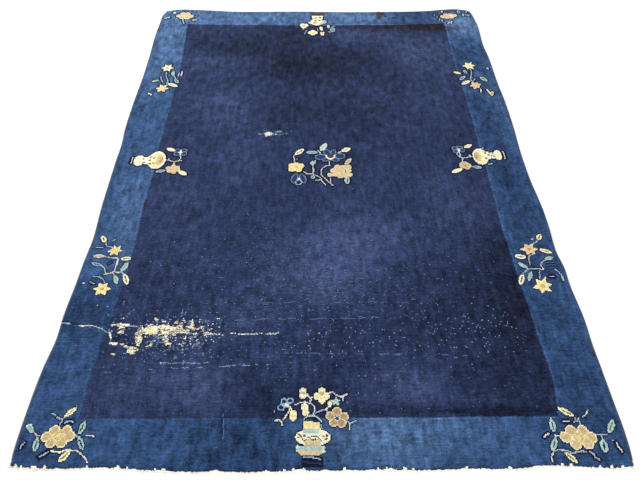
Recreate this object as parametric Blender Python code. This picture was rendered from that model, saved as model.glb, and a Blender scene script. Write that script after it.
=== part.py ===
"""A hand-knotted wool rug with a navy field and a blue border, lying on the floor.

The rug lies flat, its fringed end towards -Y and its bound end towards +Y, in metres.
A place on it is given by its share of the way across (0 at the left side, 1 at the right)
and its share of the way along (0 at the fringed end, 1 at the bound end).
"""
import math
import random
from bisect import bisect_right

import bmesh
import bpy
from mathutils import Vector

# Driving sizes
WIDTH = 1.52            # between the outer sides of the two side cords
LENGTH = 2.10           # from the last row of pile at the fringed end to the far side of the binding
THICKNESS = 0.0085      # cotton ground and clipped wool pile together
RIM_HEIGHT = 0.0055     # where the pile rolls over at the rug's edges
RIM_ROLL = 0.006        # how far in from an edge the pile reaches its full height
CORD_WIDTH = 0.007      # wrapped cord along each side
CORD_HEIGHT = 0.0065
BINDING_WIDTH = 0.006   # overcast far end
BINDING_HEIGHT = 0.0055
STRIP_WIDTH = 0.004     # woven strip that the warp ends stand out of
STRIP_HEIGHT = 0.0024
TUFT_LENGTH = 0.012     # frayed end that takes the place of the side cord above a near corner
TUFT_CORE = 0.0015      # from the pile's corner to a tuft's inner side
CLEARANCE = 0.0003      # between pieces that touch
CENTRE = Vector((-0.0054, 0.0032, 0.0))  # brings the middle of the whole rug over the origin

# Grid of the knotted piece
COLUMNS = 32
ROWS = 42
CORNER_COLUMN = 0.015   # share across, one more column where a far corner is rounded
CORNER_ROW = 0.988      # share along, one more row there

# How far each edge strays outward from the straight rectangle: share of the way, metres
LEFT_EDGE = (
    (0.00, 0.003), (0.02, 0.007), (0.08, 0.006), (0.12, 0.000), (0.16, -0.011), (0.20, -0.009),
    (0.25, -0.012), (0.29, -0.0155), (0.335, -0.022), (0.41, -0.014), (0.50, -0.010), (0.55, -0.011),
    (0.59, -0.006), (0.70, -0.006), (0.76, -0.0075), (0.87, -0.0045), (0.955, -0.005), (0.978, -0.004),
    (0.988, -0.008), (1.00, -0.017),
)
RIGHT_EDGE = (
    (0.00, 0.015), (0.02, 0.020), (0.045, 0.0215), (0.08, 0.018), (0.15, 0.0145), (0.20, 0.0175),
    (0.25, 0.009), (0.28, 0.008), (0.31, -0.001), (0.36, 0.005), (0.40, 0.006), (0.47, -0.006),
    (0.53, -0.007), (0.60, 0.001), (0.67, 0.000), (0.73, -0.006), (0.82, -0.005), (0.87, -0.013),
    (0.94, -0.010), (0.97, -0.013), (0.988, -0.016), (1.00, -0.022),
)
NEAR_EDGE = (
    (0.00, -0.004), (0.02, -0.001), (0.08, 0.002), (0.15, 0.000), (0.20, 0.0045), (0.28, 0.0095),
    (0.40, 0.0110), (0.46, 0.0085), (0.56, 0.0075), (0.60, 0.0055), (0.66, 0.0075), (0.75, 0.0045),
    (0.82, 0.0040), (0.87, -0.003), (0.94, 0.001), (0.985, 0.003), (1.00, 0.000),
)
FAR_EDGE = (
    (0.00, -0.004), (0.015, 0.005), (0.05, 0.012), (0.10, 0.008), (0.14, 0.004), (0.20, -0.005),
    (0.28, -0.012), (0.40, -0.007), (0.50, -0.008), (0.61, -0.015), (0.73, -0.008), (0.80, -0.006),
    (0.86, 0.000), (0.95, 0.016), (0.985, 0.008), (1.00, -0.005),
)

# Low ripples where the rug stands off the floor: share across, share along, reach across,
# reach along, height in metres
RIPPLES = (
    (0.00, 0.165, 0.230, 0.100, 0.0060),
    (0.00, 0.355, 0.200, 0.120, 0.0050),
    (0.00, 0.640, 0.180, 0.110, 0.0040),
    (0.00, 0.905, 0.210, 0.080, 0.0060),
    (1.00, 0.120, 0.200, 0.090, 0.0045),
    (1.00, 0.305, 0.240, 0.090, 0.0060),
    (1.00, 0.505, 0.200, 0.100, 0.0050),
    (1.00, 0.720, 0.190, 0.110, 0.0040),
    (1.00, 0.915, 0.200, 0.080, 0.0055),
    (0.345, 0.070, 0.035, 0.090, 0.0030),
    (0.30, 1.00, 0.110, 0.160, 0.0020),
    (0.62, 1.00, 0.120, 0.150, 0.0020),
)

# Hollows where the pile is worn down to the ground: the same columns, and the depth in metres
WORN_HOLLOWS = (
    (0.170, 0.178, 0.045, 0.050, 0.0040),
    (0.156, 0.155, 0.040, 0.040, 0.0030),
    (0.220, 0.184, 0.090, 0.016, 0.0020),
)
WORN_COLUMNS = (0.140, 0.156, 0.170, 0.190, 0.220, 0.260)
WORN_ROWS = (0.145, 0.155, 0.166, 0.178, 0.186, 0.194)

# Warp ends
STRANDS = 150
STRAND_WIDTH = 0.0030
STRAND_HEIGHT = 0.0012
STRAND_TIP = 0.4                # a tip's share of its root's width
STRAND_REACH = (0.002, 0.007)   # shortest and longest
TUFT_STEPS = (6, 8)             # along the side and round the corner, a strand on every other one
TUFT_REACH = (0.009, 0.017)
SEED = 27


def along(rows, share):
    """The value at a share of the way, on a smooth curve through rows of (share, value)."""
    last = len(rows) - 1
    i = min(max(bisect_right([row[0] for row in rows], share) - 1, 0), last - 1)

    def slope(k):
        a, b = rows[max(k - 1, 0)], rows[min(k + 1, last)]
        return (b[1] - a[1]) / (b[0] - a[0])

    (start, v0), (end, v1) = rows[i], rows[i + 1]
    span = end - start
    f = (share - start) / span
    return (
        (2 * f**3 - 3 * f**2 + 1) * v0 + (f**3 - 2 * f**2 + f) * span * slope(i)
        + (3 * f**2 - 2 * f**3) * v1 + (f**3 - f**2) * span * slope(i + 1)
    )


def place(across, lengthways, inset=(0.0, 0.0)):
    """Where a share across and a share along lie on the floor, inside an inset from the two sides
    and from the far end."""
    left = -WIDTH / 2 - along(LEFT_EDGE, lengthways) + inset[0]
    right = WIDTH / 2 + along(RIGHT_EDGE, lengthways) - inset[0]
    near = -LENGTH / 2 - along(NEAR_EDGE, across)
    far = LENGTH / 2 + along(FAR_EDGE, across) - inset[1]
    return Vector((left + (right - left) * across, near + (far - near) * lengthways, 0.0))


def bumps(rows, across, lengthways):
    """Height of a table's soft round bumps at a share across and along."""
    total = 0.0
    for bump_across, bump_along, reach_across, reach_along, height in rows:
        r = ((across - bump_across) / reach_across) ** 2 + ((lengthways - bump_along) / reach_along) ** 2
        total += height * max(0.0, 1.0 - r) ** 2
    return total


def lift(across, lengthways):
    """How far the rug stands off the floor."""
    return bumps(RIPPLES, across, lengthways)


def stations(count, edge, extra):
    """Shares from 0 to 1: even steps, one close to each end, and extra ones that take the place of
    the even steps next to them."""
    step = 1.0 / count
    even = [step * i for i in range(1, count)]
    kept = [s for s in even if all(abs(s - e) > 0.4 * step for e in extra)]
    return sorted({0.0, edge, 1.0 - edge, 1.0, *kept, *extra})


def pile_columns():
    """Shares across at which the pile's grid has a column."""
    extra = (CORNER_COLUMN, *WORN_COLUMNS, 1.0 - CORNER_COLUMN)
    return stations(COLUMNS, RIM_ROLL / WIDTH, extra)


def pile_rows():
    """Shares along at which the pile's grid has a row, one of them where the side cords end."""
    return stations(ROWS, RIM_ROLL / LENGTH, (TUFT_LENGTH / LENGTH, *WORN_ROWS, CORNER_ROW))


def material(name, colour, roughness):
    """A plain finish for one piece."""
    mat = bpy.data.materials.new(name)
    mat.use_nodes = True
    shader = mat.node_tree.nodes["Principled BSDF"]
    shader.inputs["Base Color"].default_value = (*colour, 1.0)
    shader.inputs["Roughness"].default_value = roughness
    shader.inputs["Metallic"].default_value = 0.0
    return mat


def finish(bm, name, mat):
    """Makes a closed mesh into a named object with its own material."""
    bmesh.ops.recalc_face_normals(bm, faces=bm.faces)
    mesh = bpy.data.meshes.new(name)
    bm.to_mesh(mesh)
    bm.free()
    mesh.materials.append(mat)
    mesh.shade_smooth()
    mesh.set_sharp_from_angle(angle=math.radians(40))
    obj = bpy.data.objects.new(name, mesh)
    obj.location = CENTRE
    bpy.context.scene.collection.objects.link(obj)
    return obj


def build_pile(mat):
    """The knotted piece: one slab with rolled edges, ripples and worn hollows."""
    inset = (CORD_WIDTH + CLEARANCE, BINDING_WIDTH + CLEARANCE)
    columns, rows = pile_columns(), pile_rows()
    bm = bmesh.new()
    under, upper = [], []
    for t in rows:
        under.append([])
        upper.append([])
        for s in columns:
            at = place(s, t, inset)
            off_floor = lift(s, t)
            rim = s in (0.0, 1.0) or t in (0.0, 1.0)
            height = RIM_HEIGHT if rim else THICKNESS - bumps(WORN_HOLLOWS, s, t)
            under[-1].append(bm.verts.new((at.x, at.y, off_floor)))
            upper[-1].append(bm.verts.new((at.x, at.y, off_floor + height)))
    last_row, last_column = len(rows) - 1, len(columns) - 1
    flat = []
    for i in range(last_row):
        for j in range(last_column):
            bm.faces.new((upper[i][j], upper[i][j + 1], upper[i + 1][j + 1], upper[i + 1][j]))
            corners = (under[i][j], under[i + 1][j], under[i + 1][j + 1], under[i][j + 1])
            face = bm.faces.new(corners)
            if all(vert.co.z == 0.0 for vert in corners):
                flat.append(face)
    ring = (
        [(0, j) for j in range(last_column)] + [(i, last_column) for i in range(last_row)]
        + [(last_row, j) for j in range(last_column, 0, -1)] + [(i, 0) for i in range(last_row, 0, -1)]
    )
    for (i, j), (k, m) in zip(ring, ring[1:] + ring[:1]):
        bm.faces.new((under[i][j], under[k][m], upper[k][m], upper[i][j]))
    bmesh.ops.dissolve_faces(bm, faces=flat, use_verts=False)
    return finish(bm, "rug_pile", mat)


def build_rope(name, mat, path, lifts, size, outward, sides=8):
    """A closed cord or binding through the path's points, flat below where it rests. Its size is
    its width, along outward, and its height."""
    width, height = size
    flare = 1.0 / math.cos(math.pi / sides)
    bm = bmesh.new()
    rings = []
    for at, off_floor in zip(path, lifts):
        ring = []
        for k in range(sides):
            angle = 2 * math.pi * (k + 0.5) / sides
            corner = at + outward * (width / 2 * flare * math.cos(angle))
            corner.z = off_floor + height / 2 * (1.0 + flare * math.sin(angle))
            ring.append(bm.verts.new(corner))
        rings.append(ring)
    for a, b in zip(rings, rings[1:]):
        for k in range(sides):
            bm.faces.new((a[k], a[(k + 1) % sides], b[(k + 1) % sides], b[k]))
    bm.faces.new(rings[0])
    bm.faces.new(rings[-1][::-1])
    return finish(bm, name, mat)


def build_side_cord(name, mat, side):
    """The wrapped cord along one side: side is 0 at the left and 1 at the right. It runs beside the
    pile's rows and on past the end of the binding."""
    rows = [t for t in pile_rows() if t >= TUFT_LENGTH / LENGTH]
    inset = (CORD_WIDTH / 2, BINDING_WIDTH + CLEARANCE)
    path = [place(side, t, inset) for t in rows]
    path.append(path[-1] + Vector((0.0, inset[1], 0.0)))
    lifts = [lift(side, t) for t in (*rows, 1.0)]
    return build_rope(name, mat, path, lifts, (CORD_WIDTH, CORD_HEIGHT), Vector((1.0, 0.0, 0.0)))


def build_far_binding(mat):
    """The overcast far end, between the two side cords."""
    columns = pile_columns()
    inset = (CORD_WIDTH + CLEARANCE, BINDING_WIDTH / 2)
    path = [place(s, 1.0, inset) for s in columns]
    size = (BINDING_WIDTH, BINDING_HEIGHT)
    lifts = [lift(s, 1.0) for s in columns]
    return build_rope("end_binding_far", mat, path, lifts, size, Vector((0.0, 1.0, 0.0)))


def pull_strand(bm, root, direction, reach, steps):
    """Draws a four-sided strand out of a root face, lying level on the floor, to a thin tip."""
    sideways = Vector((-direction.y, direction.x, 0.0))
    narrow = STRAND_TIP ** (1.0 / steps)
    for _ in range(steps):
        root = bmesh.ops.extrude_discrete_faces(bm, faces=[root])["faces"][0]
        middle = root.calc_center_median()
        for vert in root.verts:
            off = (vert.co - middle).dot(sideways)
            vert.co += direction * (reach / steps) + sideways * (off * (narrow - 1.0))
            vert.co.z *= narrow


def build_strip(name, mat, stops, width, roots, reaches, fan, steps):
    """A narrow woven strip through stops of (inner point, outward direction), with a strand out of
    its front between each stop named in roots and the next."""
    draw = random.Random(SEED + len(name))
    profile = ((0.0, 0.0), (width, 0.0), (width, STRAND_HEIGHT), (width * 0.6, STRIP_HEIGHT),
               (0.0, STRIP_HEIGHT))
    bm = bmesh.new()
    rings = [[bm.verts.new(at + outward * reach + Vector((0.0, 0.0, up))) for reach, up in profile]
             for at, outward in stops]
    fronts = {}
    for i, (a, b) in enumerate(zip(rings, rings[1:])):
        for k in range(len(profile)):
            n = (k + 1) % len(profile)
            face = bm.faces.new((a[k], b[k], b[n], a[n]))
            if k == 1:
                fronts[i] = face
    bm.faces.new(rings[0])
    bm.faces.new(rings[-1][::-1])
    for i in roots:
        outward = (stops[i][1] + stops[i + 1][1]).normalized()
        sideways = Vector((-outward.y, outward.x, 0.0))
        direction = (outward + sideways * draw.uniform(-fan, fan)).normalized()
        pull_strand(bm, fronts[i], direction, draw.uniform(*reaches), steps)
    return finish(bm, name, mat)


def build_near_fringe(mat):
    """The woven strip along the near end, with its worn warp ends."""
    pitch = 1.0 / STRANDS
    half = STRAND_WIDTH / WIDTH / 2
    inset = (CORD_WIDTH + CLEARANCE, 0.0)
    outward = Vector((0.0, -1.0, 0.0))
    columns = pile_columns()

    def on_pile_edge(share):
        """The point on the pile's straight-sided near edge at a share across."""
        j = min(bisect_right(columns, share), len(columns) - 1)
        a, b = columns[j - 1], columns[j]
        return place(a, 0.0, inset).lerp(place(b, 0.0, inset), (share - a) / (b - a))

    shares = [0.0]
    for i in range(STRANDS):
        middle = (i + 0.5) * pitch
        shares += [middle - half, middle + half]
    shares.append(1.0)
    stops = [(on_pile_edge(s) + outward * CLEARANCE, outward) for s in shares]
    roots = range(1, 2 * STRANDS, 2)
    return build_strip("fringe_near", mat, stops, STRIP_WIDTH, roots, STRAND_REACH, fan=0.25, steps=1)


def build_corner_tuft(name, mat, side):
    """The frayed end of a side cord at a near corner, with its loose ends fanned out."""
    hand = 1 - 2 * side
    inset = (CORD_WIDTH, 0.0)
    width = CORD_WIDTH - TUFT_CORE
    turn = Vector((0.0, TUFT_CORE + width - STRIP_WIDTH, 0.0))
    beside, round_corner = TUFT_STEPS
    stops = []
    for i in range(beside):
        up = TUFT_LENGTH - CLEARANCE - (TUFT_LENGTH - CLEARANCE - turn.y) * i / beside
        outward = Vector((-hand, 0.0, 0.0))
        stops.append((place(side, up / LENGTH, inset) + outward * TUFT_CORE, outward))
    for i in range(round_corner + 1):
        angle = math.pi / 2 * i / round_corner
        outward = Vector((-hand * math.cos(angle), -math.sin(angle), 0.0))
        stops.append((place(side, 0.0, inset) + turn + outward * TUFT_CORE, outward))
    roots = range(0, beside + round_corner, 2)
    return build_strip(name, mat, stops, width, roots, TUFT_REACH, fan=0.1, steps=2)


for old in list(bpy.data.objects):
    bpy.data.objects.remove(old, do_unlink=True)

build_pile(material("navy_and_blue_wool_pile", (0.030, 0.045, 0.170), 0.95))
overcast = (0.060, 0.065, 0.050)
build_side_cord("selvedge_left", material("left_overcast_yarn", overcast, 0.9), 0)
build_side_cord("selvedge_right", material("right_overcast_yarn", overcast, 0.9), 1)
build_far_binding(material("far_overcast_yarn", (0.050, 0.045, 0.045), 0.9))
cotton = (0.750, 0.680, 0.520)
build_near_fringe(material("cotton_warp_ends", cotton, 0.95))
build_corner_tuft("corner_tuft_left", material("left_frayed_cotton", cotton, 0.95), 0)
build_corner_tuft("corner_tuft_right", material("right_frayed_cotton", cotton, 0.95), 1)
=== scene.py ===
import math

import bpy
import numpy as np
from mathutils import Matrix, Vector


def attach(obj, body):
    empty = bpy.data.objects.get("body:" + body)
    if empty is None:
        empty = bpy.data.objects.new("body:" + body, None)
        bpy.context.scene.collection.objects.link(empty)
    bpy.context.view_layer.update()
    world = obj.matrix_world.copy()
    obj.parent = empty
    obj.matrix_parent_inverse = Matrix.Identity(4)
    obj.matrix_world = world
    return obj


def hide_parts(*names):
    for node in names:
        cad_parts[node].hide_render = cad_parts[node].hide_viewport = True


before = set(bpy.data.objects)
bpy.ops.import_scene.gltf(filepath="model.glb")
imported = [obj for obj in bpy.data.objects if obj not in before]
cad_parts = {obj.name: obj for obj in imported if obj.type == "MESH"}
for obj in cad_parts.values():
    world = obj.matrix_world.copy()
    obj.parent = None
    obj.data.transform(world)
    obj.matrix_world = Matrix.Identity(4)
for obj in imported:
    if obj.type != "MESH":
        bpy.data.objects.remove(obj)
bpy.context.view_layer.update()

# The rug's sizes as its construction has them, in metres
WIDTH = 1.52
LENGTH = 2.10
THICKNESS = 0.0085
RIM_HEIGHT = 0.0055
RIM_ROLL = 0.006
CORD_WIDTH = 0.007
CORD_HEIGHT = 0.0065
BINDING_WIDTH = 0.006
BINDING_HEIGHT = 0.0055
STRIP_WIDTH = 0.004
STRIP_HEIGHT = 0.0024
TUFT_LENGTH = 0.012
CLEARANCE = 0.0003
CENTRE = (-0.0054, 0.0032)  # brings the middle of the whole rug over the origin

# How far each edge strays outward from the straight rectangle: share of the way, metres
LEFT_EDGE = (
    (0.00, 0.003), (0.02, 0.007), (0.08, 0.006), (0.12, 0.000), (0.16, -0.011), (0.20, -0.009),
    (0.25, -0.012), (0.29, -0.0155), (0.335, -0.022), (0.41, -0.014), (0.50, -0.010), (0.55, -0.011),
    (0.59, -0.006), (0.70, -0.006), (0.76, -0.0075), (0.87, -0.0045), (0.955, -0.005), (0.978, -0.004),
    (0.988, -0.008), (1.00, -0.017),
)
RIGHT_EDGE = (
    (0.00, 0.015), (0.02, 0.020), (0.045, 0.0215), (0.08, 0.018), (0.15, 0.0145), (0.20, 0.0175),
    (0.25, 0.009), (0.28, 0.008), (0.31, -0.001), (0.36, 0.005), (0.40, 0.006), (0.47, -0.006),
    (0.53, -0.007), (0.60, 0.001), (0.67, 0.000), (0.73, -0.006), (0.82, -0.005), (0.87, -0.013),
    (0.94, -0.010), (0.97, -0.013), (0.988, -0.016), (1.00, -0.022),
)
NEAR_EDGE = (
    (0.00, -0.004), (0.02, -0.001), (0.08, 0.002), (0.15, 0.000), (0.20, 0.0045), (0.28, 0.0095),
    (0.40, 0.0110), (0.46, 0.0085), (0.56, 0.0075), (0.60, 0.0055), (0.66, 0.0075), (0.75, 0.0045),
    (0.82, 0.0040), (0.87, -0.003), (0.94, 0.001), (0.985, 0.003), (1.00, 0.000),
)
FAR_EDGE = (
    (0.00, -0.004), (0.015, 0.005), (0.05, 0.012), (0.10, 0.008), (0.14, 0.004), (0.20, -0.005),
    (0.28, -0.012), (0.40, -0.007), (0.50, -0.008), (0.61, -0.015), (0.73, -0.008), (0.80, -0.006),
    (0.86, 0.000), (0.95, 0.016), (0.985, 0.008), (1.00, -0.005),
)

# Low bumps of the rug: share across, share along, reach across, reach along, height in metres
RIPPLES = (
    (0.00, 0.165, 0.230, 0.100, 0.0060),
    (0.00, 0.355, 0.200, 0.120, 0.0050),
    (0.00, 0.640, 0.180, 0.110, 0.0040),
    (0.00, 0.905, 0.210, 0.080, 0.0060),
    (1.00, 0.120, 0.200, 0.090, 0.0045),
    (1.00, 0.305, 0.240, 0.090, 0.0060),
    (1.00, 0.505, 0.200, 0.100, 0.0050),
    (1.00, 0.720, 0.190, 0.110, 0.0040),
    (1.00, 0.915, 0.200, 0.080, 0.0055),
    (0.345, 0.070, 0.035, 0.090, 0.0030),
    (0.30, 1.00, 0.110, 0.160, 0.0020),
    (0.62, 1.00, 0.120, 0.150, 0.0020),
)
WORN_HOLLOWS = (
    (0.170, 0.178, 0.045, 0.050, 0.0040),
    (0.156, 0.155, 0.040, 0.040, 0.0030),
    (0.220, 0.184, 0.090, 0.016, 0.0020),
)

# Where the field ends and the border begins, on the floor: metres along, metres across
FIELD_LEFT = (
    (-0.932, -0.624), (-0.837, -0.622), (-0.717, -0.614), (-0.583, -0.604), (-0.350, -0.595),
    (-0.200, -0.602), (-0.075, -0.598), (0.105, -0.602), (0.225, -0.599), (0.629, -0.603),
    (0.917, -0.619),
)
FIELD_RIGHT = (
    (-0.929, 0.619), (-0.840, 0.630), (-0.719, 0.625), (-0.585, 0.619), (-0.351, 0.606),
    (-0.201, 0.606), (-0.056, 0.606), (0.104, 0.603), (0.347, 0.603), (0.600, 0.593), (0.918, 0.595),
)
# The same at the two ends: metres across, metres along
FIELD_NEAR = ((-0.624, -0.934), (-0.196, -0.933), (0.204, -0.931), (0.619, -0.929))
FIELD_FAR = ((-0.620, 0.921), (-0.370, 0.917), (0.000, 0.913), (0.290, 0.917), (0.600, 0.930))

# Knots, and how the cut wool stands
KNOT = (0.0030, 0.0028)     # pitch across and along
TUFT_ROOT = 0.0014          # how deep a motif's tuft is set into the pile
TUFT_RISE = 0.0007          # how far it stands above the pile
SHADE_OUTLINE_RISE = 0.0005       # how far the dark knots round a motif do
BARE_RISE = 0.0005          # how far the dark knots round a motif do: a dark outline that also paints the shade of its carved edge
TUFT_TAPER = 0.97           # its top's share of its pitch
CELL = 0.0061               # mesh of the pile's top
UNDER_STEP = 5              # cells of the top to one of the underside
UNEVENNESS = 0.00045        # slow rise and fall of the clipped pile
SEED = 1927

# How bright a white surface looks under the studio's light
STUDIO_LIGHT = 1.30


def dye(red, green, blue, light=STUDIO_LIGHT):
    """The linear colour of a yarn that looks like this screen colour under the studio's light."""
    shares = np.array((red, green, blue)) / 255
    linear = np.where(shares <= 0.04045, shares / 12.92, ((shares + 0.055) / 1.055) ** 2.4)
    return linear / light


YARN_LIGHT = 1.05           # the same for a motif's cut tufts, which shade each other


def motif_dye(red, green, blue):
    return dye(red, green, blue, YARN_LIGHT)


YARNS = {
    "night": motif_dye(18, 23, 44),
    "ink": motif_dye(28, 40, 72),
    "navy": motif_dye(44, 56, 88),
    "deep_blue": motif_dye(38, 62, 104),
    "blue": motif_dye(56, 84, 128),
    "mid_blue": motif_dye(72, 106, 150),
    "dusty": motif_dye(84, 98, 132),
    "slate": motif_dye(120, 142, 166),
    "sky": motif_dye(148, 178, 204),
    "lilac": motif_dye(170, 178, 202),
    "mist": motif_dye(170, 184, 198),
    "pearl": motif_dye(212, 212, 214),
    "aqua": motif_dye(170, 198, 194),
    "pale_aqua": motif_dye(200, 220, 212),
    "reed": motif_dye(146, 168, 150),
    "ivory": motif_dye(240, 236, 212),
    "cream": motif_dye(243, 234, 192),
    "straw": motif_dye(238, 222, 162),
    "gold": motif_dye(236, 208, 140),
    "peach": motif_dye(220, 192, 150),
    "tan": motif_dye(198, 174, 130),
    "bronze": motif_dye(172, 146, 104),
    "sand": motif_dye(214, 196, 154),
    "rose": motif_dye(226, 208, 184),
    "olive": motif_dye(112, 112, 82),
    "umber": motif_dye(84, 70, 50),
    "cotton": motif_dye(246, 240, 214),
    "grey": motif_dye(142, 146, 164),
}


def along(rows, share):
    """Values at shares of the way, on a smooth curve through rows of (share, value)."""
    stops, values = np.array(rows, float).T
    slopes = np.empty_like(values)
    slopes[1:-1] = (values[2:] - values[:-2]) / (stops[2:] - stops[:-2])
    slopes[0] = (values[1] - values[0]) / (stops[1] - stops[0])
    slopes[-1] = (values[-1] - values[-2]) / (stops[-1] - stops[-2])
    share = np.clip(share, stops[0], stops[-1])
    i = np.clip(np.searchsorted(stops, share, side="right") - 1, 0, len(stops) - 2)
    span = stops[i + 1] - stops[i]
    f = (share - stops[i]) / span
    return (
        (2 * f**3 - 3 * f**2 + 1) * values[i] + (f**3 - 2 * f**2 + f) * span * slopes[i]
        + (3 * f**2 - 2 * f**3) * values[i + 1] + (f**3 - f**2) * span * slopes[i + 1]
    )


def edges(across, lengthways, inset=(0.0, 0.0)):
    """The left, right, near and far limits of the rug at shares across and along."""
    left = -WIDTH / 2 - along(LEFT_EDGE, lengthways) + inset[0]
    right = WIDTH / 2 + along(RIGHT_EDGE, lengthways) - inset[0]
    near = -LENGTH / 2 - along(NEAR_EDGE, across)
    far = LENGTH / 2 + along(FAR_EDGE, across) - inset[1]
    return left, right, near, far


def place(across, lengthways, inset=(0.0, 0.0)):
    """Where shares across and along lie on the floor."""
    left, right, near, far = edges(across, lengthways, inset)
    return left + (right - left) * across, near + (far - near) * lengthways


def shares_at(x, y):
    """The shares across and along of places on the floor, found by closing in on them."""
    across, lengthways = 0.5 + x / WIDTH, 0.5 + y / LENGTH
    for _ in range(4):
        left, right, near, far = edges(across, lengthways)
        across, lengthways = (x - left) / (right - left), (y - near) / (far - near)
    return across, lengthways


def bumps(rows, across, lengthways):
    """Height of a table's soft round bumps at shares across and along."""
    total = np.zeros(np.broadcast(across, lengthways).shape)
    for bump_across, bump_along, reach_across, reach_along, height in rows:
        r = ((across - bump_across) / reach_across) ** 2 + ((lengthways - bump_along) / reach_along) ** 2
        total += height * np.maximum(0.0, 1.0 - r) ** 2
    return total


def wander(x, y, reach, seed):
    """Smooth random values from -1 to 1 that change over a reach of (across, along)."""
    lattice = np.random.default_rng(SEED + seed).uniform(-1, 1, (257, 257))
    u, v = np.asarray(x) / reach[0] + 128.5, np.asarray(y) / reach[1] + 128.5
    i, j = np.floor(u).astype(int), np.floor(v).astype(int)
    f, g = u - i, v - j
    f, g = f * f * (3 - 2 * f), g * g * (3 - 2 * g)
    i, j = i % 256, j % 256
    low = lattice[i, j] * (1 - f) + lattice[i + 1, j] * f
    high = lattice[i, j + 1] * (1 - f) + lattice[i + 1, j + 1] * f
    return low * (1 - g) + high * g


def unevenness(x, y):
    """How the clipped pile rises and falls."""
    slow = wander(x, y, (0.11, 0.07), 1)
    quick = wander(x, y, (0.030, 0.018), 2)
    return UNEVENNESS * (0.6 * slow + 0.4 * quick)


def pile_height(x, y):
    """Height of the pile's top above the floor."""
    across, lengthways = shares_at(x, y)
    raised = bumps(RIPPLES, across, lengthways) - bumps(WORN_HOLLOWS, across, lengthways)
    return THICKNESS + raised + unevenness(x, y)


# Materials


class Wire:
    """An output of a node, with arithmetic that adds the Math nodes it stands for."""

    def __init__(self, finish, socket):
        self.finish = finish
        self.socket = socket

    def worked(self, operation, *values):
        return self.finish.node("ShaderNodeMath", {"operation": operation}, dict(enumerate(values)))

    def __add__(self, other):
        return self.worked("ADD", self, other)

    def __sub__(self, other):
        return self.worked("SUBTRACT", self, other)

    def __rsub__(self, other):
        return self.worked("SUBTRACT", other, self)

    def __mul__(self, other):
        return self.worked("MULTIPLY", self, other)

    def __truediv__(self, other):
        return self.worked("DIVIDE", self, other)

    def __pow__(self, other):
        return self.worked("POWER", self, other)

    __radd__ = __add__
    __rmul__ = __mul__

    def clamped(self):
        return self.finish.node(
            "ShaderNodeMath", {"operation": "ADD", "use_clamp": True}, {0: self, 1: 0.0}
        )


class Finish:
    """A material in the making."""

    def __init__(self, name, **constants):
        self.material = bpy.data.materials.new(name)
        self.material.use_nodes = True
        self.tree = self.material.node_tree
        self.shader = self.tree.nodes["Principled BSDF"]
        for socket, value in constants.items():
            self.shader.inputs[socket.replace("_", " ")].default_value = value

    def node(self, kind, settings=None, sockets=None, output=0):
        """Adds a node with its settings, joins its sockets, and gives one of its outputs."""
        made = self.tree.nodes.new(kind)
        for name, value in (settings or {}).items():
            if name == "stops":
                ramp = made.color_ramp.elements
                for k, (position, colour) in enumerate(value):
                    stop = ramp[k] if k < len(ramp) else ramp.new(position)
                    stop.position, stop.color = position, (*colour, 1.0)
            else:
                setattr(made, name, value)
        for name, value in (sockets or {}).items():
            self.join(made.inputs[name], value)
        return Wire(self, made.outputs[output])

    def join(self, socket, value):
        """Links a wire to a socket, or sets the socket's value."""
        if isinstance(value, Wire):
            self.tree.links.new(value.socket, socket)
        elif socket.type == "RGBA":
            socket.default_value = (*value, 1.0)
        else:
            socket.default_value = value

    def mixed(self, factor, first, second, blend="MIX"):
        """A mix of two colours."""
        settings = {"data_type": "RGBA", "blend_type": blend}
        return self.node("ShaderNodeMix", settings, {0: factor, 6: first, 7: second}, output=2)

    def noise(self, place, scale, detail=2.0, roughness=0.5):
        """Cloudy values about one half."""
        sockets = {"Vector": place, "Scale": scale, "Detail": detail, "Roughness": roughness}
        return self.node("ShaderNodeTexNoise", {}, sockets)

    def stretched(self, place, stretch):
        """A place with its axes stretched."""
        return self.node("ShaderNodeVectorMath", {"operation": "MULTIPLY"}, {0: place, 1: stretch})

    def value(self, attribute):
        """A number that the mesh carries."""
        return self.node("ShaderNodeAttribute", {"attribute_name": attribute}, output=2)

    def off(self, wire, middle):
        """How far a number is from a middle value."""
        return self.node("ShaderNodeMath", {"operation": "ABSOLUTE"}, {0: wire - middle})

    def own_place(self):
        return self.node("ShaderNodeTexCoord", output=3)

    def colour(self, wire):
        self.join(self.shader.inputs["Base Color"], wire)

    def relief(self, height, distance, strength=1.0):
        sockets = {"Height": height, "Distance": distance, "Strength": strength}
        self.join(self.shader.inputs["Normal"], self.node("ShaderNodeBump", {}, sockets))


def brighter(finish, colour, factor):
    """A colour times a number that changes over the surface."""
    grey = finish.node("ShaderNodeCombineColor", {}, {0: factor, 1: factor, 2: factor})
    return finish.mixed(1.0, colour, grey, "MULTIPLY")


WOOL = dict(Roughness=0.95, Specular_IOR_Level=0.05, Sheen_Weight=0.03, Sheen_Roughness=0.5)


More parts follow.
